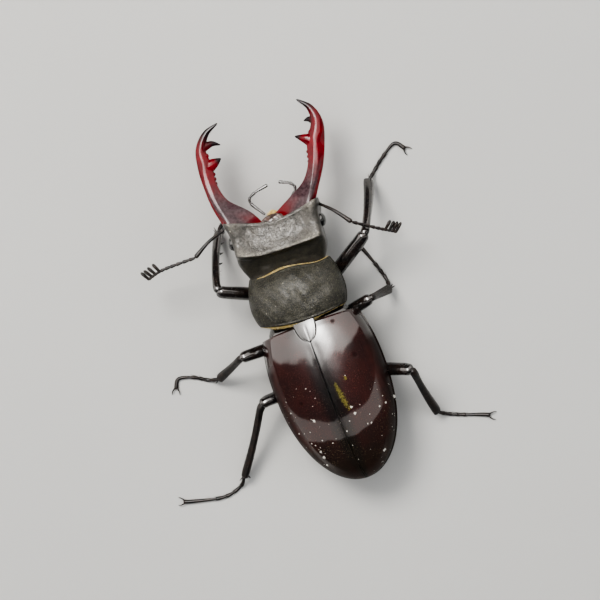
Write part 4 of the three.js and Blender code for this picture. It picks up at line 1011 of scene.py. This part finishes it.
LEG_GIRTH = {
    "fore": dict(femur=(1.15, 1.1), tibia=(0.66, 0.98), teeth=4),
    "mid": dict(femur=(1.05, 0.98), tibia=(0.58, 0.76), teeth=3),
    "hind": dict(femur=(1.12, 1.0), tibia=(0.62, 0.82), teeth=3),
}
COXAE = {
    "fore": dict(unit=PROTHORAX, at=(3.5, 3.9, 4.2), radii=(2.5, 1.5, 1.4)),
    "mid": dict(unit=HIND_BODY, at=(3.6, -1.9, 3.8), radii=(2.0, 1.4, 1.3)),
    "hind": dict(unit=HIND_BODY, at=(4.2, -9.9, 3.6), radii=(3.2, 1.2, 1.1)),
}
LEGS = {
    "fore_left": dict(root=[-5.0, 6.5, 4.0], knee=[-12.46, 9.99, 9.0], ankle=[-9.7, 19.57, 1.5],
                      foot=[[-8.3, 21.3], [-7.7, 23.7], [-7.8, 26.4], [-8.0, 27.5]]),
    "fore_right": dict(root=[4.4, 4.6, 4.0], knee=[14.23, 10.36, 9.9], ankle=[17.44, 18.77, 1.5],
                       foot=[[18.7, 19.9], [20.7, 21.5], [23.5, 23.1], [25.0, 21.6]]),
    "mid_left": dict(root=[-4.8, -2.0, 3.5], knee=[-12.65, -1.75, 8.4], ankle=[-18.37, -3.88, 1.5],
                     foot=[[-20.2, -3.5], [-22.6, -2.1], [-25.1, -1.5], [-26.1, -3.0]]),
    "mid_right": dict(root=[4.6, -1.2, 3.5], knee=[11.42, 0.07, 9.6], ankle=[14.35, 0.38, 1.5],
                      foot=[[14.2, 2.3], [13.5, 4.8], [12.3, 8.2], [11.7, 9.4]]),
    "hind_left": dict(root=[-4.2, -10.0, 3.3], knee=[-12.45, -10.1, 6.1], ankle=[-20.2, -21.1, 1.5],
                      foot=[[-21.6, -22.4], [-24.9, -23.1], [-30.4, -21.9], [-31.7, -21.4]]),
    "hind_right": dict(root=[4.6, -10.3, 3.3], knee=[13.75, -13.35, 10.2], ankle=[14.6, -22.0, 1.5],
                       foot=[[16.2, -23.0], [18.6, -24.0], [21.6, -25.1], [22.7, -25.6]]),
}
FOOT = dict(radius=0.36, sunk=0.09, joints=[0.17, 0.13, 0.12, 0.14, 0.44], claw=1.3, spread=0.42)
TUFT_HAIRS, THIGH_BRISTLES, SHIN_BRISTLES, BRISTLE_RADIUS = 8, 26, 60, 0.018
# Girth of a thigh, as a share of its greatest, at places along it.
THIGH_PLACES = [0, 0.06, 0.14, 0.35, 0.6, 0.8, 0.9, 0.96, 1.0]
THIGH_SWELL = [0.5, 0.75, 0.9, 0.98, 1.0, 0.97, 0.94, 0.88, 0.8]
SHIN_BOW = {"fore": -0.35, "mid": 0.25, "hind": 0.25}  # in mm, outwards


def flattened(points, level=0.0):
    """Points lower than the floor are laid on it."""
    points[..., 2] = np.maximum(points[..., 2], level)
    return points


def foot_skins(ankle, bends):
    """Four short joints, each wider at its far end, then one long slender joint, along a spline on the floor;
    at the tip a pair of claws hooks outwards and down."""
    level = FOOT["radius"] - FOOT["sunk"]
    stations = np.array([ankle] + [[x, y, level] for x, y in bends])
    even = spline(stations, np.linspace(0, 1, 400))
    run = np.concatenate([[0], np.cumsum(np.linalg.norm(np.diff(even, axis=0), axis=1))])
    run /= run[-1]

    def path(share):
        return np.stack([np.interp(share, run, even[:, k]) for k in range(3)], -1)

    skins = []
    joints = jointed(path, FOOT["radius"] * 0.86, FOOT["joints"], per_joint=36, swell=0.25, waist=0.35,
                     ends=(0.1, 0.3))
    for vertices, *faces in joints:
        skins.append((flattened(vertices), *faces))
    tip, before = path(0.97), path(0.92)
    along = unit_rows((tip - before) * np.array([1, 1, 0]))
    across = np.cross(along, UP)
    for turn in (-1, 1):
        def reach(forward, out, z):
            return [*(tip + FOOT["claw"] * forward * along + turn * FOOT["spread"] * out * across)[:2], z]

        stations = np.array([reach(-0.1, 0.1, level), reach(0.25, 0.9, level + 0.2),
                             reach(0.62, 1.5, level + 0.14), reach(0.98, 1.55, 0.08)])
        t = np.linspace(0, 1, 40)
        girth = np.interp(t, [0, 0.3, 1], [0.17, 0.13, 0.035])
        skins.append(shell(flattened(tube(spline(stations, t), girth, girth, UP, 20, 2.0, (0.05, 0.06)))))
    for share in np.cumsum(FOOT["joints"])[:-1]:
        middle, ahead = path(share - 0.015), path(share + 0.01)
        way = unit_rows(ahead - middle)
        side = np.cross(way, UP)
        turns = np.linspace(-1.1, 1.1, TUFT_HAIRS)
        ring = np.sin(turns)[:, None] * side - 0.25 * np.cos(turns)[:, None] * UP
        tuft = hairs(middle + FOOT["radius"] * 0.9 * ring, way + 0.55 * ring, np.full(TUFT_HAIRS, 0.5), 0.022)
        skins.append((flattened(tuft[0], 0.01), *tuft[1:]))
    return skins


for name, plan in LEGS.items():
    pair, side = name.split("_")
    sign = -1 if side == "left" else 1
    hip = COXAE[pair]
    middle = (sign * hip["at"][0], hip["at"][1], hip["at"][2])
    piece(f"hip_{name}", "limb", limb_surface, [f"coxa_{name}"], shell(ball(middle, hip["radii"], hip["unit"])))

    root, knee, ankle = (np.array(plan[key], float) for key in ("root", "knee", "ankle"))
    thigh, shin = knee - root, ankle - knee
    across = unit_rows(np.cross(thigh, shin))
    wide, deep = LEG_GIRTH[pair]["femur"]
    t = rings(100)[:, 0]
    swell = np.interp(t, THIGH_PLACES, THIGH_SWELL)
    swell = np.convolve(np.pad(swell, 4, "edge"), np.ones(9) / 9, "valid")
    elbow = np.clip((t - 0.84) / 0.16, 0, 1)[:, None] ** 2
    path = root + t[:, None] * thigh + 0.5 * elbow * unit_rows(shin)
    points = tube(path, wide * swell, deep * swell, across, 56, 2.2, (0.6, 0.8))
    angle = around(56)[0]
    groove = 0.1 * bell(np.sin((angle + math.pi / 2) / 2) ** 2, 0.16)[None, :] * step((t - 0.5) / 0.3)[:, None]
    points -= groove[..., None] * unit_rows(points - path[:, None])
    skins = [shell(points)]
    where = dice.uniform(0.35, 0.95, THIGH_BRISTLES)
    around_it = dice.uniform(0, 2 * math.pi, THIGH_BRISTLES)
    lift = unit_rows(np.cross(thigh, across))
    out = np.cos(around_it)[:, None] * across + np.sin(around_it)[:, None] * lift
    roots, ways = root + where[:, None] * thigh + 0.8 * wide * out, out * 0.5 + unit_rows(thigh)
    skins.append(hairs(roots, ways, np.full(THIGH_BRISTLES, 0.4), BRISTLE_RADIUS))
    piece(f"thigh_{name}", "limb", limb_surface, [f"femur_{name}"], *skins)

    slim, broad = LEG_GIRTH[pair]["tibia"]
    t = rings(110)[:, 0]
    widths = [0.9 * slim, 1.1 * slim, 1.06 * slim, slim, 0.5 * (slim + broad), broad, 0.98 * broad, 0.85 * broad]
    width = np.interp(t, [0, 0.05, 0.1, 0.3, 0.6, 0.9, 0.97, 1.0], widths)
    depth = slim * np.interp(t, [0, 0.05, 0.1, 0.5, 0.92, 1.0], [0.9, 1.1, 1.0, 0.95, 1.05, 0.85])
    outer = -unit_rows(np.cross(shin, across))
    elbow = np.clip(1 - t / 0.12, 0, 1)[:, None] ** 2
    bow = SHIN_BOW[pair] * np.sin(math.pi * t)[:, None]
    path = knee + t[:, None] * shin - 0.55 * elbow * unit_rows(thigh) + bow * outer
    points = tube(path, width, depth, across, 48, 2.3, (0.5, 0.35))
    ridge = 0.05 * np.cos(4 * around(48)) * step((t - 0.1) / 0.2)[:, None]
    points += ridge[..., None] * unit_rows(points - path[:, None])
    skins = [shell(points)]
    heading = unit_rows(shin)
    down_shin = np.linspace(0, 1, LEG_GIRTH[pair]["teeth"])
    spines = [(0.45 + 0.5 * far, outer, slim + 0.45 + 0.35 * far, 0.6, 0.26) for far in down_shin]
    spines += [(0.96, -outer, slim + 0.75, 1.5, 0.17), (0.96, -outer + 0.8 * across, slim + 0.6, 1.5, 0.15)]
    for at, way, reach, lean, girth in spines:
        start = knee + at * shin
        run = np.linspace(0, 1, 24)
        spine = start + (reach * run)[:, None] * unit_rows(way + lean * heading)
        spine = spine + (0.12 * run ** 2)[:, None] * heading
        taper = girth * (1 - run) ** 0.75 + 0.03
        skins.append(shell(tube(spine, taper, taper, across, 20, 2.0, (0.0, 0.05))))
    where = dice.uniform(0.2, 0.98, SHIN_BRISTLES)
    around_it = dice.uniform(0, 2 * math.pi, SHIN_BRISTLES)
    out = np.cos(around_it)[:, None] * across + np.sin(around_it)[:, None] * outer
    roots = knee + where[:, None] * shin + 0.85 * slim * out
    skins.append(hairs(roots, out * 0.6 + heading, np.full(SHIN_BRISTLES, 0.42), BRISTLE_RADIUS))
    piece(f"shin_{name}", "limb", limb_surface if pair == "fore" else shin_surface, [f"tibia_{name}"], *skins)
    piece(f"foot_{name}", "limb", shin_surface, [f"tarsus_{name}"], *foot_skins(ankle, plan["foot"]))


# Hair fringes -----------------------------------------------------------------------------------
# A dense golden fringe grows under the collar plate's front margin onto the head, another behind it over
# the base of the wing cases, and short down covers the underside of the hind thorax.

FRINGE_HAIRS, DOWN_HAIRS = 1500, 2600


def margin_fringe(count, front):
    """Hair roots along a margin of the collar plate, just under its edge, the ways they point, away from the
    plate, and their places on its unwrapped edge: along the margin and down it."""
    share = np.sort(dice.uniform(-0.99, 0.99, count))
    v = 1.0 if front else 0.0
    x = pronotum_half_width(v) * share
    rise = (pronotum_top(v) - PRONOTUM["edge_height"]) * 0.93
    z = PRONOTUM["edge_height"] + rise * (1 - np.abs(share) ** 2.5) ** (1 / 2.3) - 0.16
    depth = dice.uniform(0, 0.22, count)
    y = pronotum_forward(v, x) + (-0.12 if front else 0.12)
    way = np.array([0, 1.0 if front else -1.0, -0.18])
    ways = way + dice.normal(0, 0.16, (count, 3))
    places = np.stack([0.5 + 0.48 * share, 0.02 + 4.3 * depth], -1)
    return standing(np.stack([x, y, z - depth], -1), PROTHORAX), ways, places


roots, ways, places = margin_fringe(FRINGE_HAIRS, True)
along = np.linspace(-0.97, 0.97, FRINGE_HAIRS)
fullness = 0.75 + 0.55 * bell(along + 0.25, 0.3)
fringe = hairs(roots, ways, dice.uniform(0.26, 0.44, FRINGE_HAIRS) * fullness, 0.027, 0.1)
hair_map(piece("collar_fringe_front", "brush", hair_surface, [], fringe), places)
roots, ways, places = margin_fringe(FRINGE_HAIRS, False)
fullness = 0.35 + 0.65 * step((0.75 - np.abs(along + 0.2)) / 0.4)
fringe = hairs(roots, ways, dice.uniform(0.4, 0.75, FRINGE_HAIRS) * fullness, 0.03, 0.12)
hair_map(piece("collar_fringe_rear", "brush", hair_surface, [], fringe), places)

under = trunk_skin(np.linspace(-0.5 * BELLY["neck"], BELLY["split"], 60)[:, None], 0.0)
outward = unit_rows(np.cross(np.gradient(under, axis=1), np.gradient(under, axis=0)))
outward *= np.sign(np.sum(outward[..., 2] * (under[..., 2] - under[..., 2].mean())))
below = outward[..., 2] < -0.35
places = 0.02 + 0.96 * np.argwhere(below) / under.shape[:2]
chosen = dice.integers(0, below.sum(), DOWN_HAIRS)
under, outward = under[below][chosen], outward[below][chosen]
roots = under + dice.normal(0, 0.12, (DOWN_HAIRS, 3)) * (1 - np.abs(outward)) - 0.05 * outward
ways = 0.45 * outward + np.array([0, -1.0, 0]) + dice.normal(0, 0.2, (DOWN_HAIRS, 3))
down = hairs(roots, ways, dice.uniform(0.3, 0.6, DOWN_HAIRS), 0.02, 0.05)
hair_map(piece("thorax_down", "brush", hair_surface, [], down), places[chosen])


# Floor, light and camera ------------------------------------------------------------------------
# A plain pale floor under soft studio light. Three soft boxes light dull surfaces; two arches of boxes and
# three round glows overhead show in gloss alone, as pale zones on the wing cases and lines of light on the
# legs and jaws. The camera looks down on the back through a long lens.

floor_mesh = bpy.data.meshes.new("floor")
FLOOR_REACH = 1.6  # in metres, to each side
floor_corners = [(x * FLOOR_REACH, y * FLOOR_REACH, 0) for x, y in ((-1, -1), (1, -1), (1, 1), (-1, 1))]
floor_mesh.from_pydata(floor_corners, [], [(0, 1, 2, 3)])
floor = bpy.data.objects.new("floor", floor_mesh)
bpy.context.scene.collection.objects.link(floor)
floor_surface, tree, surface = new_surface("Pale studio floor", (0.62, 0.61, 0.58), 0.7, specular=0.2)
feed(surface, "Base Color", blend(tree, noise(tree, 60.0), (0.6, 0.59, 0.565), (0.64, 0.63, 0.6)))
floor_mesh.materials.append(floor_surface)

world = bpy.data.worlds.new("Studio")
bpy.context.scene.world = world
world.use_nodes = True
world.node_tree.nodes["Background"].inputs["Color"].default_value = (0.9, 0.95, 1.0, 1)
world.node_tree.nodes["Background"].inputs["Strength"].default_value = 0.06


def placed(x_axis, y_axis, z_axis, spot):
    """The matrix that puts an object at a spot with its own axes along the given ones."""
    return mathutils.Matrix([*np.stack([x_axis, y_axis, z_axis, spot], -1).tolist(), [0, 0, 0, 1]])


def softbox(name, place, target, size, power, colour, seen_by):
    """A rectangular area light at a place, facing a target, both in mm from the beetle's own origin. It either
    lights dull surfaces or shows in gloss, not both."""
    light = bpy.data.lights.new(name, "AREA")
    light.shape, light.size, light.size_y = "RECTANGLE", size[0] * MM, size[1] * MM
    light.energy, light.color = power, colour
    box = bpy.data.objects.new(name, light)
    here, there = (np.array(place) + SHIFT) * MM, (np.array(target) + SHIFT) * MM
    back = unit_rows(here - there)
    side = unit_rows(np.cross(np.array([0.0, 1.0, 0.001]), back))
    box.matrix_world = placed(side, np.cross(back, side), back, here)
    box.visible_diffuse, box.visible_glossy = seen_by == "dull", seen_by == "gloss"
    bpy.context.scene.collection.objects.link(box)
    return box


def dotted(tree, first, second):
    """The dot product of two vectors."""
    return wire(tree, "VectorMath", {0: first, 1: second}, operation="DOT_PRODUCT").outputs["Value"]


def glow(box, spot, radii, strength):
    """Lets a softbox shine brighter round one spot of its face, given in shares of its width and height: its
    strength there rises as the bell curve of the distance from the spot over the two radii."""
    light = box.data
    light.use_nodes = True
    tree = light.node_tree
    face = wire(tree, "NewGeometry").outputs["Parametric"]
    away = wire(tree, "VectorMath", {0: face, 1: (*spot, 0)}, operation="SUBTRACT").outputs[0]
    scale = (light.size / MM / radii[0], light.size_y / MM / radii[1], 0)
    away = wire(tree, "VectorMath", {0: away, 1: scale}, operation="MULTIPLY").outputs[0]
    away = dotted(tree, away, away)
    bright = sums(tree, "POWER", math.e, sums(tree, "MULTIPLY", away, -1.0))
    tree.links.new(sums(tree, "MULTIPLY_ADD", bright, strength, 1.0), tree.nodes["Emission"].inputs["Strength"])


ARCH_RADIUS, SOFT_EDGE = 1000.0, 16.0  # of the half circle, and the width over which its sides fade, in mm
LIT_HEIGHT = 8  # height in mm that the lights face, about the middle of the body
GLOW_COLOUR = (1.0, 0.99, 0.96)


def arch(name, edges, depth, strengths):
    """An arch of softboxes that show in gloss only, over the beetle from its left horizon to its right one. The
    boxes stand side by side round a half circle; at each joint between boxes edges says how far ahead in mm the
    arch's rear side lies and strengths how bright it is, depth how wide the arch is. Both sides fade softly."""
    part = math.pi / (len(edges) - 1)
    width = 2 * ARCH_RADIUS * math.tan(part / 2)
    for k, (first, last, dim, bright) in enumerate(zip(edges, edges[1:], strengths, strengths[1:])):
        angle = part * (k + 0.5) - math.pi / 2
        size = depth + abs(last - first)
        y = (first + last + depth) / 2
        middle = (ARCH_RADIUS * math.sin(angle), y, LIT_HEIGHT + ARCH_RADIUS * math.cos(angle))
        power = math.pi * width * size * MM * MM
        box = softbox(f"{name}_{k}", middle, (0, y, LIT_HEIGHT), (width, size), power, (1.0, 0.945, 0.895), "gloss")
        box.data.use_nodes = True
        tree = box.data.node_tree
        face = wire(tree, "NewGeometry").outputs["Parametric"]
        ahead = dotted(tree, face, (first - last, size, 0))
        ahead = sums(tree, "ADD", ahead, min(first, last) - first)
        inside = sums(tree, "MINIMUM", ahead, sums(tree, "SUBTRACT", depth, ahead))
        inside = sums(tree, "MINIMUM", sums(tree, "MAXIMUM", sums(tree, "DIVIDE", inside, SOFT_EDGE), 0.0), 1.0)
        brightness = dotted(tree, face, (bright - dim, 0, 0))
        brightness = sums(tree, "MULTIPLY", sums(tree, "ADD", brightness, dim), inside)
        tree.links.new(brightness, tree.nodes["Emission"].inputs["Strength"])


softbox("key_box", (-100, 300, 420), (0, 0, LIT_HEIGHT), (240, 200), 2.6, (1.0, 0.98, 0.95), "dull")
softbox("fill_box", (380, -120, 260), (0, 0, LIT_HEIGHT), (200, 260), 0.4, (0.95, 0.97, 1.0), "dull")
softbox("top_box", (0, 0, 700), (0, 0, LIT_HEIGHT), (1100, 1100), 4.0, (0.95, 0.97, 1.0), "dull")
arch("sky", (112, 70, 38, 5, 13, 76, 138, 190), 1100, (2.7, 2.8, 3.0, 3.1, 3.1, 2.9, 2.4, 2.0))
arch("rear", (-400, -480, -520, -585, -570, -530, -440, -310), 295, (1.2, 1.2, 1.2, 1.2, 1.25, 1.3, 1.3, 1.3))
sun = softbox("sun_glow", (-60, 150, 990), (-60, 150, 0), (1000, 700), 0.02, GLOW_COLOUR, "gloss")
glow(sun, (0.5, 0.5), (140, 85), 3600.0)
front = softbox("front_glow", (-110, 560, 985), (-110, 560, 0), (1200, 1400), 0.02, GLOW_COLOUR, "gloss")
glow(front, (0.5, 0.5), (190, 280), 9000.0)
haze = softbox("haze_glow", (0, 200, 980), (0, 200, 0), (1800, 1000), 0.02, (1.0, 0.96, 0.92), "gloss")
glow(haze, (0.5, 0.45), (430, 105), 1500.0)

CAMERA_DISTANCE = 450.0  # in mm
CAMERA_TILT = 6.0  # towards the beetle's right, from straight down
CAMERA_TURN = 20.5  # of the beetle's head, to the left of upwards in the picture
LENS_PIXELS = 2700.0
TARGET = np.array([0.0, 0.0, 9.0])
TARGET_PIXEL = (307.4, 322.1)  # where the target comes to lie
PICTURE = 600  # pixels, both ways
tilt, turn = math.radians(CAMERA_TILT), math.radians(CAMERA_TURN)
back = np.array([math.sin(tilt), 0.0, math.cos(tilt)])
forward = unit_rows(np.array([0.0, 1.0, 0.0]) - back[1] * back)
right = np.cross(forward, back)
picture_up = math.cos(turn) * forward + math.sin(turn) * right
picture_right = math.cos(turn) * right - math.sin(turn) * forward
per_mm = LENS_PIXELS / CAMERA_DISTANCE
aside = -(TARGET_PIXEL[0] - PICTURE / 2) / per_mm * picture_right
aside = aside + (TARGET_PIXEL[1] - PICTURE / 2) / per_mm * picture_up
spot = (TARGET + back * CAMERA_DISTANCE + aside + SHIFT) * MM
lens = bpy.data.cameras.new("camera")
lens.sensor_width, lens.lens = 36.0, 36.0 * LENS_PIXELS / PICTURE
lens.clip_start, lens.clip_end = 0.01, 10.0
camera = bpy.data.objects.new("camera", lens)
bpy.context.scene.collection.objects.link(camera)
camera.matrix_world = placed(picture_right, picture_up, back, spot)
bpy.context.scene.camera = camera
bpy.context.scene.view_settings.look = "AgX - Medium High Contrast"

bpy.context.view_layer.update()
